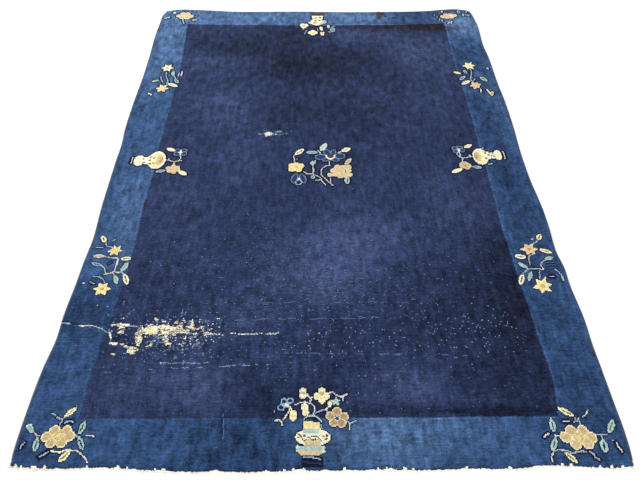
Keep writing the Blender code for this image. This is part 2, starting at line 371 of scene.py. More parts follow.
def wool_pile():
    """Navy and blue wool, knot by knot, with its streaks, faded places, grain, painted sheen that lightens the
    far border and painted shade at the rolled edges.
    """
    wool = Finish("navy_and_blue_wool_pile", **WOOL)
    place = wool.own_place()
    weave = wool.node("ShaderNodeUVMap", {"uv_map": "weave"})
    knot = wool.node("ShaderNodeVectorMath", {"operation": "FLOOR"}, {0: weave})
    own = wool.node("ShaderNodeTexWhiteNoise", {"noise_dimensions": "2D"}, {"Vector": knot})
    depth = wool.value("border_depth") + (own - 0.5) * 0.003
    border = (depth / 0.0012 + 0.5).clamped()
    seam = (1.0 - wool.off(depth, 0.0035) / 0.0035).clamped() * wool.value("seam")
    clouds = (wool.noise(place, 7.0, 2.0) * 2.2 - 0.6).clamped()
    mottle = wool.noise(wool.stretched(place, (1.3, 1.0, 1.0)), 30.0, 3.0)
    tufting = wool.noise(wool.stretched(place, (1.0, 1.5, 1.0)), 90.0, 2.0)
    wefts = wool.noise(wool.stretched(place, (16.0, 240.0, 1.0)), 1.0, 3.0, 0.65)
    brushed = wool.noise(wool.stretched(place, (75.0, 18.0, 1.0)), 1.0, 3.0)
    grain = wool.noise(place, 250.0, 2.0, 0.6)
    field = wool.mixed(clouds, dye(38, 48, 79), dye(45, 57, 92))
    edge = wool.mixed(clouds, dye(45, 71, 111), dye(53, 81, 123))
    ground = wool.mixed(border, field, edge)
    # The pale colour that faded places and the far border's painted sheen both mix towards
    sheen_and_bleach = wool.mixed(border, dye(74, 90, 128), dye(94, 127, 168))
    faded = wool.mixed((wool.value("fading_and_sheen") / 0.60).clamped(), ground, sheen_and_bleach)
    greyer = wool.mixed((wool.value("lilac") * 0.7).clamped(), faded, dye(70, 82, 130))
    aged = wool.mixed(wool.value("rust").clamped(), greyer, dye(58, 50, 62))
    level = (
        1.0 - wool.value("shade") + seam + (own - 0.5) * 0.16 + (grain - 0.5) * 0.50
        + (tufting - 0.5) * 0.60 + (mottle - 0.5) * wool.value("blotchy")
        + (wefts - 0.5) * wool.value("streaky")
        + (brushed - 0.5) * 0.65
    )
    wool.colour(brighter(wool, aged, level ** 2.2))
    tufts = wool.node("ShaderNodeTexVoronoi", {"voronoi_dimensions": "2D"}, {"Vector": weave, "Scale": 1.0})
    fibre = wool.noise(place, 900.0, 2.0)
    wool.relief(fibre * 0.5 - tufts + own * 0.6 + mottle * 1.2, 0.0011, 0.7)
    return wool.material


def knotted_yarn():
    """Dyed wool of the motifs' knots, each in the colour that the mesh carries."""
    wool = Finish("motif_wool", **WOOL)
    yarn = wool.node("ShaderNodeAttribute", {"attribute_name": "yarn"})
    place = wool.own_place()
    grain = wool.noise(place, 700.0, 2.0, 0.6)
    patchy = wool.noise(place, 110.0, 2.0)
    wool.colour(brighter(wool, yarn, ((grain - 0.5) * 0.3 + (patchy - 0.5) * 0.3 + 1.0) ** 2.2))
    wool.relief(wool.noise(place, 1100.0, 2.0), 0.0005, 0.7)
    return wool.material


def wrapping_yarn(name, dark, light, tint):
    """Overcast yarn whose wraps differ a little and have worn places."""
    yarn = Finish(name, Roughness=0.9, Specular_IOR_Level=0.15, Sheen_Weight=0.1)
    place = yarn.own_place()
    worn = yarn.noise(place, 16.0, 3.0)
    wraps = yarn.noise(yarn.stretched(place, (1.0, 1.0, 0.2)), 330.0, 1.0)
    shade = yarn.mixed((wraps * 1.6 - 0.3).clamped(), dark, light)
    tinted = yarn.mixed((worn * 4.0 - 1.9).clamped(), shade, tint)
    yarn.colour(tinted)
    yarn.relief(yarn.noise(place, 900.0, 2.0), 0.0004, 0.8)
    return yarn.material


def undyed_cotton(name, light, dirty):
    """Cotton warp ends, paler and dirtier by turns."""
    cotton = Finish(name, Roughness=0.95, Specular_IOR_Level=0.1, Sheen_Weight=0.08)
    place = cotton.own_place()
    stained = cotton.noise(place, 26.0, 3.0)
    twist = cotton.noise(cotton.stretched(place, (1.0, 0.35, 1.0)), 700.0, 2.0)
    mixed = cotton.mixed((stained * 2.6 - 0.9).clamped(), light, dirty)
    cotton.colour(brighter(cotton, mixed, (twist - 0.5) * 0.5 + 1.0))
    cotton.relief(twist, 0.0004, 0.8)
    return cotton.material


# Meshes


def mesh_piece(name, points, faces, material, smooth=True):
    """A named object of points and faces with its own material."""
    mesh = bpy.data.meshes.new(name)
    mesh.from_pydata((np.asarray(points) + (*CENTRE, 0.0)).tolist(), [], faces)
    mesh.materials.append(material)
    mesh.validate()
    if smooth:
        mesh.shade_smooth()
    piece = bpy.data.objects.new(name, mesh)
    bpy.context.scene.collection.objects.link(piece)
    return piece


def carry(piece, name, values):
    """Gives a mesh one number a point."""
    layer = piece.data.attributes.new(name, "FLOAT", "POINT")
    layer.data.foreach_set("value", np.ascontiguousarray(values, dtype=np.float32).ravel())


def map_points(piece, name, places):
    """Gives a mesh a flat map from one place a point."""
    loops = np.empty(len(piece.data.loops), int)
    piece.data.loops.foreach_get("vertex_index", loops)
    layer = piece.data.uv_layers.new(name=name)
    layer.data.foreach_set("uv", np.asarray(places, np.float32)[loops].ravel())


# The knotted pile

# Faded and darker places of the field and the border, with painted sheen that lightens the far border: metres
# across and along, reach across and along, change of brightness, share of lilac
FIELD_WEAR = (
    (0.03, -0.43, 0.17, 0.12, 0.24, 0.38),
    (0.08, -0.36, 0.10, 0.09, 0.12, 0.22),
    (0.22, -0.32, 0.10, 0.06, 0.10, 0.30),
    (0.11, -0.26, 0.09, 0.10, 0.06, 0.16),
    (0.02, -0.51, 0.14, 0.06, 0.12, 0.10),
    (-0.38, 0.33, 0.16, 0.10, 0.14, 0.26),
    (-0.28, 0.08, 0.10, 0.20, 0.08, 0.14),
    (-0.50, -0.20, 0.14, 0.26, 0.06, 0.06),
    (-0.32, -0.85, 0.09, 0.06, 0.24, 0.30),
    (0.25, -0.85, 0.10, 0.06, 0.20, 0.26),
    (-0.50, -0.84, 0.16, 0.10, 0.08, 0.10),
    (-0.20, -0.64, 0.12, 0.07, 0.12, 0.08),
    (0.50, -0.20, 0.13, 0.16, 0.16, 0.10),
    (-0.52, 0.62, 0.12, 0.07, 0.16, 0.04),
    (-0.30, 0.62, 0.16, 0.06, 0.10, 0.04),
    (0.44, 0.70, 0.16, 0.16, 0.22, 0.12),
    (0.46, 0.32, 0.12, 0.12, 0.08, 0.06),
    (0.16, 0.83, 0.12, 0.07, 0.22, 0.10),
    (0.10, 0.28, 0.22, 0.14, -0.12, 0.00),
    (-0.18, 0.29, 0.10, 0.12, -0.16, 0.00),
    (0.60, -0.52, 0.12, 0.28, -0.32, 0.00),
    (0.40, -0.60, 0.20, 0.16, -0.12, 0.00),
    (0.52, -0.82, 0.16, 0.10, -0.18, 0.00),
    (-0.38, 0.74, 0.18, 0.08, -0.24, 0.00),
    (0.53, 0.90, 0.20, 0.05, -0.38, 0.00),
    (0.20, 0.91, 0.30, 0.03, -0.18, 0.00),
    (-0.13, 0.60, 0.14, 0.12, -0.36, 0.00),
    (0.14, 0.62, 0.20, 0.14, -0.24, 0.00),
    (-0.14, 0.83, 0.14, 0.08, -0.18, 0.00),
    (0.55, 0.05, 0.10, 0.24, -0.08, 0.00),
    (0.06, -0.70, 0.18, 0.07, -0.08, 0.00),
    (-0.10, -0.88, 0.16, 0.06, -0.18, 0.00),
    (0.42, -0.915, 0.28, 0.016, -0.30, 0.00),
)
BORDER_WEAR_AND_SHEEN = (
    # Rows that lighten the border towards the far end are painted sheen; the others are faded and darker places
    (-0.68, 0.82, 0.12, 0.36, 0.32, 0.06),
    (-0.68, 0.20, 0.12, 0.40, 0.04, 0.00),
    (-0.64, -0.27, 0.08, 0.26, 0.20, 0.00),
    (-0.70, -0.63, 0.12, 0.10, -0.22, 0.00),
    (-0.66, -0.78, 0.06, 0.08, 0.08, 0.06),
    (-0.30, 0.99, 0.40, 0.10, 0.42, 0.14),
    (0.20, 0.99, 0.16, 0.10, 0.42, 0.12),
    (0.45, 0.99, 0.12, 0.10, -0.04, 0.00),
    (0.68, 0.92, 0.10, 0.10, 0.60, 0.14),
    (0.66, 0.70, 0.08, 0.14, -0.06, 0.00),
    (0.72, 0.30, 0.05, 0.40, 0.14, 0.06),
    (0.67, 0.10, 0.06, 0.40, -0.20, 0.00),
    (0.67, -0.35, 0.10, 0.30, -0.08, 0.00),
    (0.62, -0.20, 0.03, 0.40, 0.10, 0.04),
    (0.70, -0.85, 0.12, 0.20, -0.12, 0.00),
    (-0.22, -0.99, 0.18, 0.12, -0.20, 0.00),
    (0.17, -0.97, 0.18, 0.09, 0.30, 0.00),
    (0.50, -0.99, 0.20, 0.12, 0.04, 0.00),
    (-0.40, -0.96, 0.14, 0.08, 0.06, 0.04),
)
# Rust-brown soiling: metres across and along, reach across and along, share
RUST = (
    (0.33, 0.892, 0.30, 0.012, 0.8, 0),
    (0.53, 0.885, 0.12, 0.022, 0.6, 0),
    (0.44, 0.93, 0.20, 0.008, 0.5, 0),
)
SOILED_WIDTH = 0.010        # along the far edge
# Where the pile has gone at the near end: metres across, depth of the bite, half its width
NEAR_BITES = (
    (-0.500, 0.004, 0.006), (-0.455, 0.002, 0.008), (-0.395, 0.003, 0.006), (-0.255, 0.005, 0.014),
    (-0.132, 0.005, 0.006), (-0.052, 0.011, 0.008), (0.012, 0.003, 0.006), (0.068, 0.003, 0.008),
    (0.175, 0.005, 0.005), (0.352, 0.002, 0.006), (0.534, 0.003, 0.006),
)
BITE_REACH = 0.030
SIDE_INSET = 0.0048         # how far in from the side the pile starts, leaning over the cord
CORNER_INSET = 0.0015       # how far in from the side the pile starts at a near corner
CORNER_REACH = 0.006        # and how far up the side it does so
NEAR_RAG = 0.0004


def patches(rows, x, y):
    """Brightness and lilac of a table of soft places."""
    tone, lilac = np.zeros_like(x), np.zeros_like(x)
    for at_x, at_y, reach_x, reach_y, change, faded in rows:
        near = np.exp(-((x - at_x) / reach_x) ** 2 - ((y - at_y) / reach_y) ** 2)
        tone += change * near
        lilac += faded * near
    return tone, lilac


def soiled_edge(x, y):
    """How soiled the far edge is."""
    across, lengthways = shares_at(x, y)
    return 0.8 * np.clip(1 - (1 - lengthways) * LENGTH / SOILED_WIDTH, 0, 1)


def border_depth(x, y):
    """How far a place is inside the border, negative in the field."""
    sides = np.maximum(along(FIELD_LEFT, y) - x, x - along(FIELD_RIGHT, y))
    ends = np.maximum(along(FIELD_NEAR, x) - y, y - along(FIELD_FAR, x))
    return np.maximum(sides, ends)


def bitten(x):
    """How far the pile's near edge is worn back."""
    back = NEAR_RAG * (1.0 + wander(x, x * 0, (0.005, 1.0), 3))
    for at, depth, half in NEAR_BITES:
        back = back + depth * np.exp(-((x - at) / half) ** 2)
    return back


def stations(length):
    """Shares of the way across the pile: close together where it rolls over, then even cells."""
    rolled = [RIM_ROLL * (1 - math.cos(math.pi / 2 * k / 4)) / length for k in range(4)]
    inner = np.linspace(RIM_ROLL / length, 1 - RIM_ROLL / length, round(length / CELL))
    return np.concatenate([rolled, inner, 1 - np.array(rolled)[::-1]])


def every(count, step):
    """Indices of a coarser row of stations that keeps both ends."""
    return sorted({*range(0, count - 1, step), count - 1})


def zipped(upper, lower):
    """Triangles between two closed rings of (share round the ring, point), the lower one coarser."""
    faces = []
    i = j = 0
    while i < len(upper) or j < len(lower):
        a, b = upper[i % len(upper)][1], lower[j % len(lower)][1]
        next_up = upper[i + 1][0] if i + 1 < len(upper) else 1.0 + (i >= len(upper))
        next_low = lower[j + 1][0] if j + 1 < len(lower) else 1.0 + (j >= len(lower))
        if next_up <= next_low:
            i += 1
            faces.append((a, b, upper[i % len(upper)][1]))
        else:
            j += 1
            faces.append((a, b, lower[j % len(lower)][1]))
    return faces


def ring_of(index, s, t):
    """The rim of a grid of points, counter-clockwise: share round the rim, point."""
    rows, columns = index.shape
    near = [(s[j], index[0, j]) for j in range(columns - 1)]
    right = [(1 + t[i], index[i, -1]) for i in range(rows - 1)]
    far = [(3 - s[j], index[-1, j]) for j in range(columns - 1, 0, -1)]
    left = [(4 - t[i], index[i, 0]) for i in range(rows - 1, 0, -1)]
    return [(share / 4, int(point)) for share, point in near + right + far + left]


def quads(index):
    """The faces of a grid of points, seen from above."""
    corners = (index[:-1, :-1], index[:-1, 1:], index[1:, 1:], index[1:, :-1])
    return np.stack(corners, axis=-1).reshape(-1, 4).tolist()


def build_pile():
    """The knotted sheet: a fine top that rolls over at the edges, and a coarse underside."""
    s, t = stations(WIDTH), stations(LENGTH)
    across, lengthways = np.meshgrid(s, t)
    beside_cord = np.clip((lengthways * LENGTH - CORNER_REACH) / (TUFT_LENGTH - CORNER_REACH), 0, 1)
    side_inset = CORNER_INSET + (SIDE_INSET - CORNER_INSET) * beside_cord
    x, y = place(across, lengthways, (side_inset, BINDING_WIDTH + CLEARANCE))
    from_rim = np.minimum(
        np.minimum(across, 1 - across) * WIDTH, np.minimum(lengthways, 1 - lengthways) * LENGTH
    )
    rolled = np.sqrt(1 - (1 - np.clip(from_rim / RIM_ROLL, 0, 1)) ** 2)
    lift = bumps(RIPPLES, across, lengthways)
    hollow = bumps(WORN_HOLLOWS, across, lengthways)
    height = RIM_HEIGHT + (THICKNESS - RIM_HEIGHT) * rolled - hollow + unevenness(x, y) * rolled
    from_near = lengthways * LENGTH
    worn_back = bitten(x) * np.maximum(0.0, 1.0 - from_near / BITE_REACH)
    top = np.stack([x, y + worn_back, lift + height], axis=-1)
    keep_rows, keep_columns = every(len(t), UNDER_STEP), every(len(s), UNDER_STEP)
    chosen = np.ix_(keep_rows, keep_columns)
    under = np.stack([x[chosen], (y + worn_back)[chosen], lift[chosen]], axis=-1)
    upper = np.arange(top.shape[0] * top.shape[1]).reshape(top.shape[:2])
    lower = upper.size + np.arange(under.shape[0] * under.shape[1]).reshape(under.shape[:2])
    faces = quads(upper) + quads(lower.T)
    faces += zipped(ring_of(upper, s, t), ring_of(lower, s[keep_columns], t[keep_rows]))
    points = np.concatenate([top.reshape(-1, 3), under.reshape(-1, 3)])
    pile = mesh_piece("knotted_pile", points, faces, wool_pile())
    px, py = points[:, 0], points[:, 1]
    depth = border_depth(px, py)
    wear_and_sheen_areas = zip(patches(BORDER_WEAR_AND_SHEEN, px, py), patches(FIELD_WEAR, px, py))
    tones = [np.where(depth > 0, border, field) for border, field in wear_and_sheen_areas]
    rim = np.concatenate([(1 - rolled).ravel(), np.ones(under.shape[0] * under.shape[1])])
    carry(pile, "border_depth", depth)
    # Lighter places: faded wool, and painted sheen at the far border
    carry(pile, "fading_and_sheen", np.clip(tones[0], 0, None))
    # 0.12 * rim is painted shade where the pile rolls over at its edges
    carry(pile, "shade", np.clip(-tones[0], 0, None) + 0.12 * rim)
    carry(pile, "lilac", tones[1])
    carry(pile, "rust", patches(RUST, px, py)[0] + soiled_edge(px, py))
    carry(pile, "seam", 0.16 * (px > 0) + 0.10 * (py > 0.8) + 0.04)
    carry(pile, "blotchy", 0.70 + 0.30 * np.clip(py + 0.1, 0, 0.6) / 0.6)
    carry(pile, "streaky", 0.30 + 0.35 * np.clip(-py - 0.05, 0, 0.6) / 0.6)
    map_points(pile, "weave", np.stack([px / KNOT[0], py / KNOT[1]], axis=-1))
    return pile


# Motifs, set knot by knot


def grown(mask, times=1):
    """A mask with one more knot on each side, so many times."""
    for _ in range(times):
        wider = mask.copy()
        wider[1:] |= mask[:-1]
        wider[:-1] |= mask[1:]
        wider[:, 1:] |= mask[:, :-1]
        wider[:, :-1] |= mask[:, 1:]
        mask = wider
    return mask


STAR_VALLEY = 0.56          # where two petals of a star part, as a share of their length


class Chart:
    """A place on the weave where knots are set, in millimetres from its middle."""

    def __init__(self, middle, reach, shade_halo=1):
        self.shade_halo = shade_halo
        first = [math.floor((m - r) / k) for m, r, k in zip(middle, reach, KNOT)]
        count = [math.ceil(2 * r / k) for r, k in zip(reach, KNOT)]
        columns, rows = [(f + np.arange(c) + 0.5) * k for f, c, k in zip(first, count, KNOT)]
        self.on_x, self.on_y = np.meshgrid(columns, rows)
        self.x, self.y = (self.on_x - middle[0]) * 1000, (self.on_y - middle[1]) * 1000
        self.colour = np.zeros((*self.x.shape, 3))
        self.rise = np.zeros(self.x.shape)
        self.motif = np.zeros(self.x.shape, bool)
        self.draw = np.random.default_rng(SEED + self.x.size)

    def lay(self, inside, yarn, shade_halo=None, shade="night"):
        """Knots of one yarn, with a dark outline where nothing is knotted yet, which also paints the shade of a
        carved edge.
        """
        # The dark knots round the motif are a dark outline and painted shade of its carved edge
        shaded_around = grown(inside, self.shade_halo if shade_halo is None else shade_halo) & ~self.motif & ~inside
        self.colour[shaded_around], self.rise[shaded_around] = YARNS[shade], SHADE_OUTLINE_RISE
        self.colour[inside], self.rise[inside] = YARNS[yarn], TUFT_RISE
        self.motif |= inside
        return inside

    def petal(self, yarn, fill, base, tip, width):
        """A rounded petal in outline, one knot thick, filled with another yarn."""
        rim = 3.4 / math.dist(base, tip)
        inner = [tuple(b + (t - b) * share for b, t in zip(base, tip)) for share in (rim, 1 - rim)]
        self.leaf(yarn, base, tip, width, None)
        self.leaf(fill, *inner, width - 6.8, None, shade_halo=0)

    def stem(self, yarn, *points, width=3.2, shade_halo=None):
        """A line of knots through points."""
        inside = np.zeros(self.x.shape, bool)
        for (ax, ay), (bx, by) in zip(points, points[1:]):
            run = (bx - ax) ** 2 + (by - ay) ** 2
            f = np.clip(((self.x - ax) * (bx - ax) + (self.y - ay) * (by - ay)) / run, 0, 1)
            off = np.hypot(self.x - ax - f * (bx - ax), self.y - ay - f * (by - ay))
            inside |= off <= width / 2
        return self.lay(inside, yarn, shade_halo)

    def leaf(self, yarn, base, tip, width, slit="night", heart=None, shade_halo=None):
        """A pointed oval leaf, with a slit along its middle."""
        dx, dy = tip[0] - base[0], tip[1] - base[1]
        length = math.hypot(dx, dy)
        up = ((self.x - base[0]) * dx + (self.y - base[1]) * dy) / length**2
        off = np.abs((self.y - base[1]) * dx - (self.x - base[0]) * dy) / length
        swell = np.sqrt(np.sin(np.pi * np.clip(up, 0, 1)))
        inside = self.lay((swell > 0) & (off <= width / 2 * swell), yarn, shade_halo)
        if heart:
            self.colour[inside & (off <= width / 4) & (np.abs(up - 0.5) < 0.3)] = YARNS[heart]
        if slit:
            self.colour[inside & (off <= 1.8) & (np.abs(up - 0.5) < 0.31)] = YARNS[slit]

    def oval(self, yarn, centre, radii, turn=0, heart=None, shade_halo=None):
        """A filled oval, turned by so many degrees."""
        r = self.from_centre(centre, radii, turn)
        self.lay(r <= 1, yarn, shade_halo)
        if heart:
            self.colour[r <= 0.5] = YARNS[heart]

    def ring(self, yarn, centre, radii, turn=0, fill=None, shade_halo=None):
        """An oval outline, one knot thick."""
        r = self.from_centre(centre, radii, turn)
        inner = self.from_centre(centre, [radius - 3.4 for radius in radii], turn)
        if fill:
            self.lay(inner <= 1, fill, 0)
        self.lay((r <= 1) & (inner > 1), yarn, shade_halo)

    def from_centre(self, centre, radii, turn=0):
        """The distance from an oval's centre as a share of its radius."""
        a = math.radians(turn)
        x, y = self.x - centre[0], self.y - centre[1]
        u, v = x * math.cos(a) + y * math.sin(a), y * math.cos(a) - x * math.sin(a)
        return np.hypot(u / max(radii[0], 0.1), v / max(radii[1], 0.1))

    def blossom(self, lobes, body, rim, seam, heart=None, inner=None):
        """A flower of round petals (x, y, radius), with a pale rim and seams between its petals."""
        reach = np.sort([self.from_centre((x, y), (r, r)) for x, y, r in lobes], axis=0)
        inside = self.lay(reach[0] <= 1, body)
        if inner:
            mixed = 0.5 * self.draw.uniform(-1, 1, reach[0].shape)
            self.colour[inside & (reach[0] + mixed < 0.62)] = YARNS[inner]
        if len(lobes) > 1:
            self.colour[inside & (reach[1] - reach[0] < 0.12)] = YARNS[seam]
        self.colour[inside & grown(~inside)] = YARNS[rim]
        if heart:
            yarn, centre, radius = heart
            self.colour[self.from_centre(centre, (radius, radius)) <= 1] = YARNS[yarn]

    def star(self, centre, tips, body, ends, heart):
        """A flower with pointed petals that end at the tips, given in order round it."""
        cx, cy = centre
        corners = []
        for (ax, ay), (bx, by) in zip(tips, tips[1:] + tips[:1]):
            ux, uy = (ax + bx) / 2 - cx, (ay + by) / 2 - cy
            valley = STAR_VALLEY * (math.hypot(ax - cx, ay - cy) + math.hypot(bx - cx, by - cy)) / 2
            inner = valley / math.hypot(ux, uy)
            corners += [(ax, ay), (cx + ux * inner, cy + uy * inner)]
        inside = self.shape(body, *corners)
        radius = np.mean([math.hypot(x - cx, y - cy) for x, y in tips])
        r = self.from_centre(centre, (radius, radius))
        self.colour[inside & (r > 0.62)] = YARNS[ends]
        self.colour[inside & (r < 0.24)] = YARNS[heart]

    def shape(self, yarn, *corners, shade_halo=None):
        """A filled shape with straight sides."""
        inside = np.zeros(self.x.shape, bool)
        for (ax, ay), (bx, by) in zip(corners, corners[1:] + corners[:1]):
            if ay != by:
                crosses = (self.y < ay) != (self.y < by)
                inside ^= crosses & (self.x < ax + (self.y - ay) * (bx - ax) / (by - ay))
        return self.lay(inside, yarn, shade_halo)

    def worn(self, yarns, share, centre, reach, turn=0, run=3, firm=4):
        """Ground or faded knots showing in short runs along the rows, fewer away from the centre."""
        rough = self.draw.uniform(size=(self.x.shape[0], self.x.shape[1] + run))
        runs = np.mean([rough[:, k:k + self.x.shape[1]] for k in range(run)], axis=0)
        share_below = np.searchsorted(np.sort(runs.ravel()), runs) / runs.size
        shown = share_below < share * np.exp(-self.from_centre(centre, reach, turn) ** firm)
        pick = self.draw.integers(len(yarns), size=self.x.shape)
        self.colour[shown] = np.array([YARNS[yarn] for yarn in yarns])[pick][shown]
        self.rise[shown] = BARE_RISE
        self.motif |= shown

    def dots(self, yarn, radius, *places):
        """Small round spots on what is knotted already."""
        for place_of in places:
            self.colour[self.from_centre(place_of, (radius, radius)) <= 1] = YARNS[yarn]


def near_left_spray():
    """Peony spray in the near left corner."""
    c = Chart((-0.665, -0.990), (0.125, 0.125))
    c.stem("mist", (42, 18), (50, 12), (57, 10))
    c.stem("mist", (-62, 22), (-52, 15), (-44, 13))
    c.stem("pearl", (-49, 9), (-48, 2))
    lobes = (
        (-27, 11, 13), (-11, 26, 14), (19, 27, 13), (30, 13, 14), (15, -3, 13), (-12, -3, 13), (2, 16, 15),
    )
    c.blossom(lobes, "sand", "cream", "straw", ("gold", (3, 14), 7), "tan")
    c.leaf("aqua", (54, 18), (59, 49), 15)
    c.stem("sky", (59, 46), (60, 51))
    c.leaf("aqua", (55, 10), (74, -20), 13)
    c.stem("pearl", (73, 15), (83, 14), (94, 12))
    c.leaf("aqua", (-64, 22), (-86, 42), 13, "reed")
    c.dots("pale_aqua", 4, (-85, 38), (-76, 42))
    c.leaf("aqua", (-49, 7), (-46, -25), 14, "ink")
    c.stem("mist", (-78, -3), (-84, -10), (-83, -17), shade_halo=2)
    c.stem("mist", (-31, -37), (-20, -32), (-12, -25), shade_halo=3)
    c.stem("ivory", (-6, -22), (5, -25), (20, -26), (28, -22), width=4.4)
    c.stem("pearl", (28, -21), (45, -21), (60, -23), (72, -31), (84, -40), (93, -51))
    c.leaf("cream", (42, -24), (21, -48), 16, "olive")
    c.stem("sky", (10, 47), (15, 50), (23, 51), (30, 48), width=4.6, shade_halo=2)
    c.leaf("cream", (4, 62), (28, 85), 13, "olive")
    c.stem("pearl", (26, 88), (27, 91))
    c.stem("mist", (4, 63), (1, 56), (-1, 48), (-3, 42))
    c.stem("sky", (-33, 71), (-20, 66))
    c.stem("mist", (-16, 61), (-6, 56), (0, 55))
    return c


def near_right_spray():
    """Peony spray in the near right corner."""
    c = Chart((0.655, -0.985), (0.125, 0.125))
    c.stem("pearl", (-58, 2), (-56, 8), (-50, 6), (-44, 5))
    c.stem("mist", (44, 9), (60, 8), (76, 8))
    c.stem("mist", (60, 8), (60, -2))
    lobes = (
        (-31, 3, 14), (-13, 18, 15), (17, 19, 14), (34, 2, 14), (20, -13, 14), (-11, -14, 14), (2, 2, 16),
    )
    c.oval("sand", (-16, 3), (8, 8))
    c.blossom(lobes, "sand", "cream", "straw", ("gold", (2, 0), 7), "tan")
    c.leaf("cream", (5, 56), (-32, 78), 14, "olive")
    c.stem("mist", (5, 49), (7, 50))
    c.stem("pearl", (28, 55), (37, 59), (45, 71))
    c.stem("pearl", (-28, 42), (-12, 43), shade_halo=2)
    c.stem("aqua", (0, 41), (10, 43), (15, 50))
    c.stem("mist", (16, 43), (15, 34))
    c.leaf("aqua", (-57, 16), (-56, 48), 15)
    c.stem("pale_aqua", (-56, 45), (-56, 49), width=5)
    c.leaf("aqua", (-57, 1), (-74, -30), 14)
    c.stem("pearl", (-87, 3), (-80, 8), (-71, 12), shade_halo=2)
    c.stem("pearl", (-80, -55), (-79, -42), (-71, -32))
    c.stem("mist", (-71, -32), (-60, -28), (-40, -29), (-28, -35), (-15, -34), (0, -31), (9, -32))
    c.stem("mist", (18, -32), (26, -38), (27, -45), (36, -51), shade_halo=2)
    c.leaf("cream", (-44, -34), (-18, -59), 12, "olive")
    c.leaf("aqua", (60, -3), (58, -35), 20, "ink")
    c.leaf("aqua", (82, 14), (104, 46), 15, "olive")
    c.stem("mist", (85, -5), (88, -6))
    c.stem("pearl", (93, -10), (93, -19), (98, -26), (99, -31), width=4, shade_halo=2)
    return c


def near_vase():
    """The vase of flowers at the near end."""
    c = Chart((-0.014, -0.965), (0.120, 0.135))
    c.stem("pearl", (-3, 30), (-3, 42), (1, 50), (0, 62), (-8, 70), (-12, 72))
    c.stem("lilac", (4, 46), (20, 53), (30, 54), (36, 47))
    c.stem("ivory", (31, 55), (38, 64))
    c.stem("pearl", (-12, 70), (-25, 75), (-40, 72), (-50, 67))
    c.stem("pearl", (-12, 72), (-8, 84), (-14, 88), (-20, 96), width=4)
    c.stem("ivory", (-8, 86), (-4, 88))
    c.stem("ivory", (-76, 66), (-62, 61), (-68, 48), (-75, 36), (-80, 29))
    c.stem("ivory", (-62, 60), (-57, 50))
    c.stem("pearl", (-101, 26), (-91, 28), (-85, 24), (-82, 14), width=4)
    c.stem("pearl", (36, 98), (48, 101), (58, 93), (72, 88), (88, 96))
    c.stem("pearl", (75, 88), (75, 78), width=4)
    c.stem("sky", (83, 24), (92, 18), (108, 26), width=4)
    c.stem("pearl", (91, 18), (91, 4), width=4)
    for centre, radii in (((-80, 76), (9, 9)), ((-64, 78), (9, 8)), ((-87, 60), (10, 9)), ((-73, 66), (7, 6))):
        c.ring("sky", centre, radii, fill="ink")
    c.oval("cream", (-73, 66), (7, 4), -20)
    c.stem("lilac", (-104, 52), (-104, 47))
    c.blossom(((-30, 104, 9), (-30, 92, 10)), "ivory", "rose", "ivory", ("tan", (-30, 98), 5))
    lobes = ((20, 103, 10), (20, 92, 9), (20, 80, 10), (8, 90, 10), (32, 90, 9))
    c.blossom(lobes, "cream", "cream", "sand", ("tan", (20, 98), 6))
    c.star((57, 76), ((57, 88), (45, 79), (50, 66), (64, 66), (69, 79)), "aqua", "pale_aqua", "aqua")
    c.oval("cream", (41, 70), (5, 9))
    c.blossom(((-26, 62, 9), (-23, 52, 8), (-23, 46, 9)), "cream", "cream", "straw")
    c.oval("cream", (-55, 39), (10, 14), heart="straw")
    petals = ((59, 49, 12), (77, 36, 12), (70, 20, 12), (50, 20, 11), (42, 37, 12))
    c.blossom(petals, "tan", "rose", "rose", ("pale_aqua", (59, 34), 5), "bronze")
    c.stem("night", (-20, 40), (-16, 34), (4, 32), (12, 26), shade_halo=1)
    c.stem("aqua", (-28, 27), (-24, 34), (-12, 38), (2, 38), (10, 33), (18, 24))
    c.stem("sky", (17, 14), (21, 5))
    c.oval("ivory", (-3, -16), (45, 21))
    c.shape("straw", (-28, 25), (14, 21), (16, 3), (-28, 5))
    c.shape("aqua", (-28, 5), (12, 4), (12, -7), (-28, -7), shade_halo=0)
    c.shape("sand", (-26, -22), (18, -22), (16, -38), (-22, -38), shade_halo=0)
    for line in (
        ((-44, -15), (-38, -17)), ((-42, -7), (-34, -13), (-27, -24), (-19, -23)),
        ((-17, -17), (-4, -13), (8, -15), (20, -26)),
        ((-8, -20), (-2, -24), (4, -20)), ((26, -24), (34, -18)),
    ):
        c.stem("umber", *line, width=2.8, shade_halo=0)
    c.dots("umber", 2.4, (-25, -12), (23, -14), (32, -12))
    c.stem("tan", (-25, -35), (14, -36), width=2.8, shade_halo=0)
    c.stem("ivory", (-18, -39), (14, -40), width=2.8, shade_halo=0)
    c.shape("aqua", (-43, -36), (24, -36), (28, -49), (-47, -49))
    c.shape("peach", (-47, -48), (28, -48), (12, -61), (-32, -61), shade_halo=1)
    c.dots("pale_aqua", 4, (-43, -38), (24, -42), (25, -51))
    c.shape("night", (-30, -62), (22, -63), (24, -89), (-30, -87), shade_halo=0)
    c.stem("sky", (-26, -63), (-5, -65), (16, -69), width=3.6, shade_halo=0)
    c.stem("navy", (-30, -75), (20, -80), shade_halo=0)
    return c


